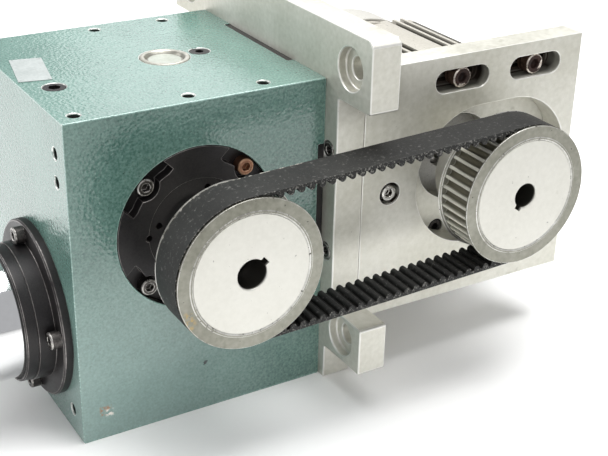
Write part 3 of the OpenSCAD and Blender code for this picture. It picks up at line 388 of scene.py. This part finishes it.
# Black oxide parts: the bearing cartridge in the front, its ring nut, the ram's flange and
# keeper, the side cover and the top plugs. Turned steel, blackened in a hot bath and oiled.
OXIDE = (0.008, 0.007, 0.008, 1)
OXIDE_WORN = (0.028, 0.025, 0.025, 1)
black_oxide, tree, shader, mask = two_toned(
    "black_oxide", OXIDE, OXIDE_WORN, patches=30.0, specks=900.0, speck_share=0.35,
    metallic=0.45, Specular_IOR_Level=0.6)
uneven_roughness(tree, shader, mask, low=0.34, high=0.52)
fine_grain = group_node(tree, grain, Size=900.0)
bump(tree, shader, fine_grain.outputs[0], strength=0.12, depth=0.3 * MM)
oxide_edge = two_toned(
    "oxide_on_edges", (0.05, 0.045, 0.045, 1), (0.30, 0.28, 0.27, 1),
    patches=60.0, specks=400.0, speck_share=0.4, metallic=0.8, roughness=0.34)[0]
rounded_copy("bearing_cartridge", 0.35 * MM, black_oxide, oxide_edge)
rounded_copy("ram_flange", 0.4 * MM, black_oxide, oxide_edge)
rounded_copy("ram_keeper", 0.3 * MM, black_oxide, oxide_edge)
dress(black_oxide, "cartridge_ring_nut", "side_cover", "top_plugs")

# Ram: a thick steel bar with a rack cut in its top, ground, hard chromed and polished to
# a mirror. The balls of the bearings are hardened steel, lapped just as bright.
chrome, tree, shader, mask = two_toned(
    "hard_chrome", (0.80, 0.80, 0.81, 1), (0.88, 0.88, 0.89, 1),
    patches=14.0, specks=200.0, speck_share=0.3, metallic=1.0)
uneven_roughness(tree, shader, mask, low=0.05, high=0.11)
dress(chrome, "ram", "bearing_balls", "motor_bearing_balls")

# Aluminium plates: bracket, motor plate, corner block and slide plate, sawn from thick
# stock, milled and left bare, so they are satin, lightly scratched and a little stained.
# The slots of the motor plate are darkened inside, partly by grime and rust and partly with
# painted shade, and the corner screw's pocket and socket with painted shade alone.
ALU = (0.50, 0.49, 0.42, 1)
ALU_LIGHT = (0.72, 0.71, 0.65, 1)
ALU_EDGE = (0.80, 0.79, 0.76, 1)
SLOT_GRIME_AND_SHADE = (0.050, 0.038, 0.030, 1)
MILLED = {"stretch": (1, 14, 14), "rough_low": 0.42, "rough_high": 0.58}
RUBBED = {"stretch": (1, 1, 1), "rough_low": 0.30, "rough_high": 0.42}
SCREW_HEAD_R = 6.5 * MM
SLOT_DARK_LEFT = 1.5 * MM
SLOT_DARK_BACK = 6 * MM
POCKET_FROM_BRACKET = 25.6 * MM


def milled(name, first, second, stretch, rough_low, rough_high, metallic=0.65,
           grain_size=120.0, pit_share=0.05):
    """Bare milled or turned metal with drawn grain, stains and fine pits."""
    material, tree, shader = finish(name, metallic=metallic)
    colour = group_node(tree, mottle, First=first, Second=second, Patches=11.0,
                        Specks=260.0, Speck_Share=0.30)
    stains = group_node(tree, marks, Size=34.0, Share=0.12, Softness=0.14)
    shade = blend_colour(tree, stains.outputs[0], colour.outputs[0],
                         (0.66 * first[0], 0.66 * first[1], 0.60 * first[2], 1))
    pits = group_node(tree, marks, Size=330.0, Share=pit_share, Softness=0.02)
    shade = blend_colour(tree, pits.outputs[0], shade, darker(first, 0.35))
    uneven_roughness(tree, shader, colour.outputs[1], rough_low, rough_high)
    lines = group_node(tree, grain, Size=grain_size, Stretch=stretch)
    bump(tree, shader, lines.outputs[0], strength=0.10, depth=0.3 * MM)
    return material, tree, shader, shade


def plain_milled(*values, **more):
    """The same metal with nothing laid over it."""
    material, tree, shader, shade = milled(*values, **more)
    tree.links.new(shade, shader.inputs["Base Color"])
    return material


plate_low, plate_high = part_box("motor_plate")
slot_low, slot_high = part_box("slot_screws")
slot_mid_x = (slot_low[0] + slot_high[0]) / 2 - SLOT_DARK_LEFT
slot_mid_y = (plate_low[1] + plate_high[1]) / 2 + SLOT_DARK_BACK
slot_levels = (slot_low[2] + SCREW_HEAD_R, slot_high[2] - SCREW_HEAD_R)
block_low, block_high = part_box("corner_block_screws")
block_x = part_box("bracket")[1][0] + POCKET_FROM_BRACKET
block_z = (block_low[2] + block_high[2]) / 2


def grime_and_shade_plate(name, first, second, surface, slot, pocket, pocket_y):
    """Plate metal darkened inside the four slots, by grime and painted shade, and with
    painted shade in the corner screw's pocket.
    """
    material, tree, shader, shade = milled(name, first, second, **surface)
    for level in slot_levels:
        shade = lay_box(tree, shade, SLOT_GRIME_AND_SHADE,
                        Centre=(slot_mid_x, slot_mid_y, level), **slot)
    # painted shade in the corner screw's pocket
    shade = lay_box(tree, shade, SLOT_GRIME_AND_SHADE,
                    Centre=(block_x, plate_low[1] + pocket_y, block_z), **pocket)
    tree.links.new(shade, shader.inputs["Base Color"])
    return material


plate_metal = plain_milled("milled_plate", ALU, ALU_LIGHT, **MILLED)
plate_edge = plain_milled("plate_edges", ALU_LIGHT, ALU_EDGE, **RUBBED)
slotted_metal = grime_and_shade_plate("slotted_plate", ALU, ALU_LIGHT, MILLED,
                            {"Half": (0.062, 0.0120, 0.0115), "Fade": 0.005},
                            {"Half": (0.0088, 0.0085, 0.0088), "Fade": 0.0006},
                            pocket_y=9.5 * MM)
slotted_edge = grime_and_shade_plate("slotted_plate_edges", ALU_LIGHT, ALU_EDGE, RUBBED,
                           {"Half": (0.062, 0.0130, 0.0115), "Fade": 0.0012},
                           {"Half": (0.0095, 0.0093, 0.0095), "Fade": 0.0004},
                           pocket_y=9.4 * MM)
rounded_copy("bracket", 1.1 * MM, plate_metal, plate_edge)
rounded_copy("motor_plate", 0.8 * MM, slotted_metal, slotted_edge)
rounded_copy("slide_plate", 0.6 * MM, plate_metal, plate_edge)
rounded_copy("corner_block", 0.7 * MM, plate_metal, plate_edge)

# Sight cap and blank plate on the housing's top: a turned aluminium ring with a bright
# rim round a recessed clouded pane, its groove darkened with painted shade, and a thin
# pale anodised sheet on four small rivets.
cap_groove_shaded = plain_milled("turned_cap", (0.16, 0.155, 0.13, 1), (0.34, 0.33, 0.29, 1),
                         stretch=(3, 3, 1), rough_low=0.34, rough_high=0.44)
cap_rim = plain_milled("cap_rim", (0.34, 0.33, 0.28, 1), (0.56, 0.55, 0.50, 1),
                       stretch=(1, 1, 1), rough_low=0.34, rough_high=0.44)
pane = two_toned(
    "clouded_pane", (0.30, 0.32, 0.27, 1), (0.42, 0.44, 0.40, 1),
    patches=120.0, specks=700.0, speck_share=0.4, metallic=0.1, roughness=0.42)[0]
cap_low, cap_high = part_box("sight_cap")
cap_mid = [(a + b) / 2 for a, b in zip(cap_low, cap_high)]
# radius and height over the cap's top, in mm, from the pane outwards and down
CAP_STEPS = ((12.4, -2.2), (13.6, -2.4), (15.2, -0.4), (15.9, 0.0), (17.6, 0.0),
             (18.3, -0.35), (18.5, -0.9), (18.5, -8.0))
PANE_R = 12 * MM
PANE_DEPTH = 3 * MM
RIM_R = 15.3 * MM
bpy.ops.object.select_all(action="DESELECT")
bpy.ops.mesh.primitive_circle_add(
    vertices=72, radius=CAP_STEPS[0][0] * MM, fill_type="NGON",
    location=(cap_mid[0], cap_mid[1], cap_high[2] + CAP_STEPS[0][1] * MM))
cap = bpy.context.object
cap.name = cap.data.name = "sight_cap_turned"
bpy.ops.object.transform_apply(location=True, rotation=True, scale=True)
bpy.ops.object.mode_set(mode="EDIT")
bpy.ops.mesh.select_mode(type="EDGE")
bpy.ops.mesh.select_all(action="SELECT")
for (radius, height), (next_radius, next_height) in zip(CAP_STEPS, CAP_STEPS[1:]):
    bpy.ops.mesh.extrude_edges_move(
        TRANSFORM_OT_translate={"value": (0, 0, (next_height - height) * MM)})
    growth = next_radius / radius
    bpy.ops.transform.resize(value=(growth, growth, 1),
                             center_override=(cap_mid[0], cap_mid[1], cap_mid[2]))
bpy.ops.mesh.fill()
bpy.ops.mesh.select_all(action="SELECT")
bpy.ops.mesh.normals_make_consistent(inside=False)
bpy.ops.object.mode_set(mode="OBJECT")
for material in (cap_groove_shaded, cap_rim, pane):
    cap.data.materials.append(material)
# the groove and its walls inside the rim keep the darker metal, as painted shade
for face in cap.data.polygons:
    radius = math.hypot(face.center.x - cap_mid[0], face.center.y - cap_mid[1])
    if radius < PANE_R and face.center.z > cap_high[2] - PANE_DEPTH:
        face.material_index = 2
    elif radius > RIM_R:
        face.material_index = 1
bpy.ops.object.shade_smooth_by_angle(angle=math.radians(35))
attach(cap, body_name["sight_cap"])
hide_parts("sight_cap")
blank_plate = two_toned(
    "blank_plate", (0.31, 0.34, 0.33, 1), (0.42, 0.45, 0.44, 1),
    patches=60.0, specks=500.0, speck_share=0.5, metallic=0.25, roughness=0.42)[0]
dress(blank_plate, "rating_label")

# Pulleys: turned aluminium with milled tooth gaps that hold olive dust and grease, and
# painted shade inside the bore. The pressed-on flange rings are dull zinc plated steel
# whose rims are made bright with a painted highlight.
TURNED = (0.58, 0.57, 0.52, 1)
TURNED_LIGHT = (0.69, 0.68, 0.63, 1)
GROOVE_DUST = (0.17, 0.16, 0.12, 1)
TOOTH_CREST = (0.80, 0.79, 0.72, 1)
BORE_SHADE = (0.045, 0.042, 0.036, 1)
GAP_R = 50.5 * MM
CREST_R = 52.4 * MM
BORE_HALF = 16.5 * MM
BORE_START = 1.2 * MM
BORE_REACH = 60 * MM

# shared effect: a mask that grows from one distance to another off an axis along Y
radial, ins, outs = shader_group("far_from_an_axis_along_y", [
    ("Centre", "NodeSocketVector", (0, 0, 0)),
    ("Near", "NodeSocketFloat", 0.050),
    ("Far", "NodeSocketFloat", 0.052),
], [("Mask", "NodeSocketFloat")])
place = add_node(radial, "ShaderNodeTexCoord")
arm = add_node(radial, "ShaderNodeVectorMath", {"operation": "SUBTRACT"},
               _0=place.outputs["Object"], _1=ins.outputs["Centre"])
arm = add_node(radial, "ShaderNodeVectorMath", {"operation": "MULTIPLY"},
               _0=arm.outputs[0], _1=(1, 0, 1))
reach = add_node(radial, "ShaderNodeVectorMath", {"operation": "LENGTH"}, _0=arm.outputs[0])
ramp = add_node(radial, "ShaderNodeMapRange", Value=reach.outputs["Value"],
                From_Min=ins.outputs["Near"], From_Max=ins.outputs["Far"])
radial.links.new(ramp.outputs["Result"], outs.inputs["Mask"])

flange_zinc, tree, shader, shade = milled(
    "dull_zinc", (0.17, 0.168, 0.135, 1), (0.36, 0.355, 0.305, 1), stretch=(3, 1, 3),
    rough_low=0.34, rough_high=0.50, grain_size=200.0, pit_share=0.10)
stained_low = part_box("input_pulley_flanges")[0]
stain_centre = (stained_low[0] + 6.5 * MM, stained_low[1], stained_low[2] + 32 * MM)
shade = lay_marks(tree, shade, (0.46, 0.31, 0.09, 1),
                  {"Centre": stain_centre, "Half": (0.0075, 0.004, 0.0085), "Fade": 0.006},
                  {"Size": 240.0, "Share": 0.27, "Softness": 0.10})
tree.links.new(shade, shader.inputs["Base Color"])
# painted highlight: the flanges' rounded rims take this much paler zinc for the light they
# catch
flange_rim_highlight = plain_milled("rubbed_zinc", (0.30, 0.29, 0.26, 1), (0.90, 0.89, 0.86, 1),
                          stretch=(1, 1, 1), rough_low=0.25, rough_high=0.36,
                          pit_share=0.16)
for side in ("input", "motor"):
    rim_low, rim_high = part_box(side + "_pulley_flanges")
    rim_mid = [(a + b) / 2 for a, b in zip(rim_low, rim_high)]
    pulley_metal, tree, shader, shade = milled(
        "turned_pulley_" + side, TURNED, TURNED_LIGHT, stretch=(4, 1, 4),
        rough_low=0.34, rough_high=0.48, pit_share=0.085)
    crests = group_node(tree, radial, Centre=rim_mid, Near=GAP_R, Far=CREST_R)
    toothed = blend_colour(tree, crests.outputs[0], GROOVE_DUST, TOOTH_CREST)
    shade = lay_box(tree, shade, toothed, Centre=rim_mid, Half=(0.060, 0.0152, 0.060),
                    Fade=0.0008)
    # painted shade: the bore's walls are darkened past a short lip at the front
    shade = lay_box(tree, shade, BORE_SHADE, Half=(BORE_HALF, BORE_REACH, BORE_HALF),
                    Fade=0.0016,
                    Centre=(rim_mid[0], rim_low[1] + BORE_START + BORE_REACH, rim_mid[2]))
    tree.links.new(shade, shader.inputs["Base Color"])
    rounded_copy(side + "_pulley", 0.2 * MM, pulley_metal, pulley_metal, steps=1)
    rounded_copy(side + "_pulley_flanges", 0.3 * MM, flange_zinc, flange_rim_highlight)

# Timing belt: black rubber moulded round cords, its teeth faced with fabric. The rear
# edge is rubbed by the pulley's flange and shows pale threads. The shaft's seal, the ram's
# wiper and the gland are of plain black rubber.
belt_low, belt_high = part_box("timing_belt")


def rubber(name, first, second, frayed=False):
    """Black rubber, for the belt with dust and with pale threads along its edges."""
    material, tree, shader = finish(name, Specular_IOR_Level=0.3)
    colour = group_node(tree, mottle, First=first, Second=second, Patches=25.0,
                        Specks=900.0, Speck_Share=0.5)
    shade = colour.outputs[0]
    if frayed:
        rear_edge = (belt_low[0] + 0.06, belt_high[1], belt_high[2] - 0.035)
        shade = lay_marks(tree, shade, (0.45, 0.43, 0.38, 1),
                          {"Centre": rear_edge, "Half": (0.055, 0.0012, 0.035),
                           "Fade": 0.0012},
                          {"Size": 420.0, "Share": 0.27, "Softness": 0.06})
        front_edge = (0.11, belt_low[1], 0.16)
        shade = lay_marks(tree, shade, (0.17, 0.165, 0.15, 1),
                          {"Centre": front_edge, "Half": (0.20, 0.0009, 0.09),
                           "Fade": 0.0006},
                          {"Size": 640.0, "Share": 0.22, "Softness": 0.05})
        dust = group_node(tree, marks, Size=380.0, Share=0.20, Softness=0.12)
        shade = blend_colour(tree, dust.outputs[0], shade, (0.085, 0.083, 0.078, 1))
    tree.links.new(shade, shader.inputs["Base Color"])
    uneven_roughness(tree, shader, colour.outputs[1], low=0.48, high=0.68)
    weave = group_node(tree, grain, Size=1200.0)
    bump(tree, shader, weave.outputs[0], strength=0.25, depth=0.3 * MM)
    return material


dress(rubber("belt_rubber", (0.005, 0.005, 0.005, 1), (0.019, 0.019, 0.017, 1),
             frayed=True), "timing_belt")
dress(rubber("seal_rubber", (0.012, 0.012, 0.012, 1), (0.025, 0.025, 0.024, 1)),
      "shaft_seal", "ram_wiper", "cable_gland")

# Screws and small steel parts: forged and rolled cap screws, blackened in the housing and
# bright in the plates. One in the cartridge and the four in the motor plate's slots rust.
SOOT_BLACK = (0.030, 0.028, 0.027, 1)
STEEL_GREY = (0.42, 0.41, 0.39, 1)
STEEL_PALE = (0.60, 0.59, 0.57, 1)


def speckled_metal(name, first, second, metallic, roughness):
    """Steel in two tones, as oil, soot or rust leave it."""
    material, tree, shader = finish(name, metallic=metallic)
    colour = group_node(tree, mottle, First=first, Second=second, Patches=90.0,
                        Specks=700.0, Speck_Share=0.5)
    uneven_roughness(tree, shader, colour.outputs[1], roughness - 0.08, roughness + 0.1)
    return material, tree, shader, colour.outputs[0]


def plain_speckled(*values, **more):
    """The same steel with nothing laid over it."""
    material, tree, shader, colour = speckled_metal(*values, **more)
    tree.links.new(colour, shader.inputs["Base Color"])
    return material


cart_low, cart_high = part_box("cartridge_screws")


def partly_rusty(name, first, second, rust, metallic, roughness):
    """Screw steel with rust on the cartridge's upper right screw."""
    material, tree, shader, colour = speckled_metal(name, first, second, metallic, roughness)
    colour = lay_box(tree, colour, rust, Half=(0.009, 0.03, 0.009), Fade=0.001,
                     Centre=(cart_high[0] - SCREW_HEAD_R, cart_low[1],
                             cart_high[2] - SCREW_HEAD_R))
    tree.links.new(colour, shader.inputs["Base Color"])
    return material


steel = plain_speckled("satin_steel", STEEL_GREY, STEEL_PALE, metallic=1.0, roughness=0.32)
dress(steel, "bearing_outer_rings", "bearing_inner_rings", "side_cover_screws",
      "ram_saddle_screws", "input_shaft", "pinion", "pinion_key", "shaft_spacer",
      "input_pulley_key", "motor_pulley_key", "bracket_screws", "motor_bearing_outer_rings",
      "motor_bearing_inner_rings", "motor_shaft", "motor_rotor")
dark_steel = partly_rusty("blackened_screws", SOOT_BLACK, (0.11, 0.10, 0.095, 1),
                          (0.23, 0.115, 0.070, 1), metallic=0.85, roughness=0.40)
screw_rim = partly_rusty("rubbed_black_rims", (0.12, 0.11, 0.10, 1), (0.62, 0.60, 0.57, 1),
                         (0.42, 0.25, 0.16, 1), metallic=0.9, roughness=0.30)
for screws in ("cartridge_screws", "ram_flange_screws", "plate_end_screws"):
    rounded_copy(screws, 0.5 * MM, dark_steel, screw_rim)
dress(dark_steel, "rear_cap_screws", "motor_screws",
      "input_pulley_set_screws", "motor_pulley_set_screws")

block_steel, tree, shader, colour = speckled_metal(
    "block_screw_steel", STEEL_GREY, STEEL_PALE, metallic=0.9, roughness=0.32)
# painted shade in the corner screw's socket
colour = lay_box(tree, colour, SLOT_GRIME_AND_SHADE, Half=(0.0036, 0.0200, 0.0036), Fade=0.0006,
                 Centre=(block_x, block_low[1] + 20.9 * MM, block_z))
tree.links.new(colour, shader.inputs["Base Color"])
bright_rim = plain_speckled("rubbed_bright_rims", (0.55, 0.53, 0.48, 1),
                            (0.90, 0.89, 0.85, 1), metallic=0.9, roughness=0.26)
rounded_copy("corner_block_screws", 0.7 * MM, block_steel, bright_rim)

# Slot screws: the larger cap screws that clamp the slide plate through the motor plate's
# slots, with their washers. Rust has eaten the black finish, and the heads' rims are rubbed.
rusty_steel = plain_speckled("rusty_screws", (0.045, 0.024, 0.016, 1),
                             (0.15, 0.095, 0.070, 1), metallic=0.45, roughness=0.45)
rusty_rim = plain_speckled("rubbed_screw_rims", (0.14, 0.085, 0.060, 1),
                           (0.92, 0.86, 0.78, 1), metallic=0.80, roughness=0.28)
# the sockets are rusty and made near black with painted shade
socket_rust_and_shade = plain_speckled("rusty_sockets_in_shade", (0.012, 0.005, 0.004, 1),
                             (0.050, 0.020, 0.014, 1), metallic=0.1, roughness=0.7)
HEAD_GROWTH = 16 / 13
HEAD_DEPTH = 8.5 * MM
HEAD_RISE = 2.6 * MM
HEAD_ZONE = 10 * MM
HEAD_FACE_R = 8.5 * MM
SOCKET_R = 4.7 * MM
big_screws = rounded_copy("slot_screws", 0.9 * MM, rusty_steel, rusty_rim, shortest=1.2 * MM)
big_screws.data.materials.append(socket_rust_and_shade)
head_line = slot_low[1] + HEAD_DEPTH
head_centres = [(x, z) for x in (slot_low[0] + SCREW_HEAD_R, slot_high[0] - SCREW_HEAD_R)
                for z in slot_levels]
for head_x, head_z in head_centres:
    bpy.ops.object.mode_set(mode="EDIT")
    bpy.ops.mesh.select_mode(type="VERT")
    bpy.ops.mesh.select_all(action="DESELECT")
    bpy.ops.object.mode_set(mode="OBJECT")
    for point in big_screws.data.vertices:
        near = math.hypot(point.co.x - head_x, point.co.z - head_z) < HEAD_ZONE
        point.select = near and point.co.y < head_line
    bpy.ops.object.mode_set(mode="EDIT")
    bpy.ops.transform.resize(value=(HEAD_GROWTH, 1, HEAD_GROWTH),
                             center_override=(head_x, slot_low[1], head_z))
    bpy.ops.transform.translate(value=(0, -HEAD_RISE, 0))
    bpy.ops.object.mode_set(mode="OBJECT")
    for face in big_screws.data.polygons:
        radius = math.hypot(face.center.x - head_x, face.center.z - head_z)
        if radius < SOCKET_R:
            face.material_index = 2
        elif radius < HEAD_FACE_R and face.normal.y < -0.5:
            face.material_index = 1
dress(rusty_steel, "slot_washers")

# Ram bush and saddle: turned and milled bearing bronze, pressed and screwed into the
# housing. The varnished copper of the motor's stator has the same brown tones.
bronze = plain_milled("bearing_bronze", (0.42, 0.26, 0.10, 1), (0.56, 0.38, 0.17, 1),
                      stretch=(1, 1, 1), rough_low=0.32, rough_high=0.42)
dress(bronze, "ram_bush", "ram_saddle", "motor_stator")

# Motor body: a cast aluminium barrel with upright fins, level fins on one side, a flat pad
# on top, a saddle for the terminal box and a seat ring for the rear cowl. Cast in one
# piece and sprayed warm grey; the fins above and below the barrel are darkened with
# painted shade between them.
SMOOTH_ENAMEL = {"lump_size": 700.0, "lump_depth": 0.0002, "gloss": 0.5,
                 "rough_low": 0.36, "rough_high": 0.48}
frame_low, frame_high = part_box("motor_frame")
cowl_low, cowl_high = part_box("motor_cowl")
axis_x = (cowl_low[0] + cowl_high[0]) / 2
axis_z = (cowl_low[2] + cowl_high[2]) / 2
box_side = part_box("terminal_box")[0][0]
FRAME_GROWTH = 28 * MM
FRAME_START = frame_low[1]
FRAME_END = frame_high[1] + FRAME_GROWTH
BARREL_R = 66 * MM
WALL = 8 * MM
FIN_ROOT = 22 * MM
FIN_TIP = 70.5 * MM
FIN_REACH = 84 * MM
FIN_PITCH = 8.3 * MM
FIN_WALL = 2.8 * MM
RIGHT_FINS = 32.8 * MM
LEFT_FINS = -7.2 * MM
LEVEL_ROOT = 50 * MM
PAD_LEFT = 0.8 * MM
PAD_RIGHT = 25 * MM
PAD_ROOT = 45 * MM
SADDLE_START = FRAME_START + 4 * MM
SADDLE_END = FRAME_START + 78 * MM
SADDLE_HALF = 34 * MM
SEAT_R = 72.7 * MM
SEAT_START = FRAME_END - 5 * MM
SEAT_END = FRAME_END + 3 * MM


def block(x0, x1, y0, y1, z0, z1):
    """A block between these sides, measured from the motor's axis."""
    bpy.ops.mesh.primitive_cube_add(
        size=1, location=(axis_x + (x0 + x1) / 2, (y0 + y1) / 2, axis_z + (z0 + z1) / 2),
        scale=(x1 - x0, y1 - y0, z1 - z0))
    return bpy.context.object


def barrel(radius, y0, y1):
    """A round bar along the motor's axis."""
    bpy.ops.mesh.primitive_cylinder_add(
        vertices=96, radius=radius, depth=y1 - y0,
        location=(axis_x, (y0 + y1) / 2, axis_z), rotation=(math.pi / 2, 0, 0))
    return bpy.context.object


bpy.ops.object.select_all(action="DESELECT")
motor_body = barrel(BARREL_R, FRAME_START, FRAME_END)
fins = [block(PAD_LEFT, PAD_RIGHT, FRAME_START, FRAME_END, PAD_ROOT, FIN_TIP)]
upright = [(RIGHT_FINS + k * FIN_PITCH, 1) for k in range(4)]
upright += [(LEFT_FINS - k * FIN_PITCH, 1) for k in range(6)]
upright += [(k * FIN_PITCH, -1) for k in range(-6, 7)]
for offset, way in upright:
    tip = min(FIN_TIP, math.sqrt(FIN_REACH ** 2 - offset ** 2))
    ends = sorted((way * FIN_ROOT, way * tip))
    fins.append(block(offset - FIN_WALL / 2, offset + FIN_WALL / 2,
                      FRAME_START, FRAME_END, *ends))
for k in range(-4, 5):
    fins.append(block(-FIN_REACH, -LEVEL_ROOT, FRAME_START, FRAME_END,
                      k * FIN_PITCH - FIN_WALL / 2, k * FIN_PITCH + FIN_WALL / 2))
fins.append(block(LEVEL_ROOT, box_side - axis_x, SADDLE_START, SADDLE_END,
                  -SADDLE_HALF, SADDLE_HALF))
fins.append(barrel(SEAT_R, SEAT_START, SEAT_END))
hollow = barrel(BARREL_R - WALL, FRAME_START - 1 * MM, SEAT_END + 1 * MM)
for operation, others in (("UNION", fins), ("DIFFERENCE", [hollow])):
    bpy.ops.object.select_all(action="DESELECT")
    for other in others:
        other.select_set(True)
    bpy.context.view_layer.objects.active = others[0]
    if len(others) > 1:
        bpy.ops.object.join()
    joint = motor_body.modifiers.new("joined shape", "BOOLEAN")
    joint.operation = operation
    joint.object = others[0]
    joint.solver = "EXACT"
    joint.use_self = True
    select_only(motor_body)
    bpy.ops.object.modifier_apply(modifier=joint.name)
    bpy.data.objects.remove(others[0])
bpy.ops.object.transform_apply(location=True, rotation=True, scale=True)
motor_body.name = motor_body.data.name = "motor_finned_body"
softened = motor_body.modifiers.new("cast edges", "BEVEL")
softened.width = 0.5 * MM
softened.segments = 2
softened.limit_method = "ANGLE"
softened.angle_limit = math.radians(40)
bpy.ops.object.modifier_apply(modifier=softened.name)
bpy.ops.object.shade_smooth_by_angle(angle=math.radians(35))
fin_paint, tree, shader, colour = painted("fin_paint", (0.34, 0.325, 0.28, 1),
                                          (0.43, 0.41, 0.365, 1), **SMOOTH_ENAMEL)
FIN_SHADE_CENTRE = 55 * MM
FIN_SHADE_HALF = 15.3 * MM
FIN_SHADE_INSET = 5.4 * MM
fin_half = (FRAME_END - FRAME_START) / 2
# painted shade: the bands of upright fins above and below the barrel are darkened
for side in (1, -1):
    colour = lay_box(tree, colour, (0.060, 0.056, 0.042, 1), Fade=0.0022,
                     Half=(0.060, fin_half - FIN_SHADE_INSET, FIN_SHADE_HALF),
                     Centre=(axis_x, FRAME_START + fin_half, axis_z + side * FIN_SHADE_CENTRE))
tree.links.new(colour, shader.inputs["Base Color"])
motor_body.data.materials.clear()
motor_body.data.materials.append(fin_paint)
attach(motor_body, body_name["motor_frame"])
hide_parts("motor_frame")

# Rear cowl, shields and terminal box: a pressed steel cowl with slots for the fan's air,
# screwed to the seat ring, and cast aluminium shields and box, all in the same warm grey.
# Only the cowl's front rim moves, to meet the longer body. The fan is moulded plastic.
motor_paint, tree, shader, colour = painted("motor_paint", (0.38, 0.37, 0.335, 1),
                                            (0.46, 0.45, 0.415, 1), **SMOOTH_ENAMEL)
tree.links.new(colour, shader.inputs["Base Color"])
COWL_RIM = 12 * MM
rear_cowl = rounded_copy("motor_cowl", 0.5 * MM, motor_paint, motor_paint, shortest=1 * MM)
rear_cowl.name = rear_cowl.data.name = "motor_rear_cowl"
bpy.ops.object.mode_set(mode="EDIT")
bpy.ops.mesh.select_mode(type="VERT")
bpy.ops.mesh.select_all(action="DESELECT")
bpy.ops.object.mode_set(mode="OBJECT")
for point in rear_cowl.data.vertices:
    point.select = point.co.y < cowl_low[1] + COWL_RIM
bpy.ops.object.mode_set(mode="EDIT")
bpy.ops.transform.translate(value=(0, FRAME_GROWTH, 0))
bpy.ops.object.mode_set(mode="OBJECT")
dress(motor_paint, "motor_front_shield", "motor_rear_shield",
      "terminal_box", "terminal_lid")
fan_plastic = plain_speckled("fan_plastic", (0.018, 0.018, 0.018, 1),
                             (0.030, 0.030, 0.030, 1), metallic=0.0, roughness=0.5)
dress(fan_plastic, "motor_fan")

# Floor of the studio: a plain matt white sheet laid flat, which fades to a pale grey well
# in front of the part.
FLOOR_WHITE = (0.93, 0.93, 0.92, 1)
FLOOR_GREY = (0.58, 0.58, 0.57, 1)
bpy.ops.object.select_all(action="DESELECT")
bpy.ops.mesh.primitive_plane_add(size=12, location=(0, 0, 0))
floor = bpy.context.object
floor.name = "studio_floor"
floor_white, tree, shader = finish("floor_white", roughness=0.75)
colour = lay_box(tree, FLOOR_GREY, FLOOR_WHITE, Centre=(0, 5.30, 0), Half=(9, 6.0, 1),
                 Fade=0.40)
tree.links.new(colour, shader.inputs["Base Color"])
floor.data.materials.append(floor_white)

# Lights of the studio: an even pale room, one wide soft light overhead, a weak one in
# front, and one behind at each side that lights the top and the left face.
world = bpy.data.worlds.new("studio")
bpy.context.scene.world = world
world.use_nodes = True
sky = world.node_tree.nodes["Background"]
sky.inputs["Color"].default_value = (0.97, 0.98, 1, 1)
sky.inputs["Strength"].default_value = 0.50


def soft_light(name, place, aim, size, power):
    """A large square area light at a place, aimed at a point."""
    data = bpy.data.lights.new(name, "AREA")
    data.size = size
    data.energy = power
    light = bpy.data.objects.new(name, data)
    bpy.context.collection.objects.link(light)
    light.location = place
    light.rotation_euler = (Vector(aim) - Vector(place)).to_track_quat("-Z", "Y").to_euler()


soft_light("overhead", (0.45, 0.0, 2.3), aim=(0.05, -0.1, 0), size=1.6, power=82)
soft_light("front_fill", (-0.7, -1.7, 1.5), aim=(0, 0, 0.1), size=1.6, power=10)
soft_light("behind_right", (1.05, 2.0, 1.15), aim=(0, 0, 0.2), size=0.8, power=3.2)
soft_light("behind_left", (-1.3, 0.9, 1.1), aim=(-0.4, 0.25, 0), size=0.9, power=14)

# Camera: in front of the part at the left and above it, almost level sideways, turned
# towards the pulleys. Its axes are given as unit vectors.
CAMERA_PLACE = (-0.348708, -0.810260, 0.542302)
CAMERA_RIGHT = Vector((0.859947, -0.509979, 0.020326))
CAMERA_AHEAD = Vector((0.465651, 0.767650, -0.440321))
camera_data = bpy.data.cameras.new("camera")
camera_data.sensor_width = 36
camera_data.lens = 73.012
camera = bpy.data.objects.new("camera", camera_data)
bpy.context.collection.objects.link(camera)
camera_up = CAMERA_RIGHT.cross(CAMERA_AHEAD)
facing = Matrix((CAMERA_RIGHT, camera_up, -CAMERA_AHEAD)).transposed()
camera.matrix_world = Matrix.Translation(CAMERA_PLACE) @ facing.to_4x4()
bpy.context.scene.camera = camera
bpy.context.scene.view_settings.view_transform = "Standard"
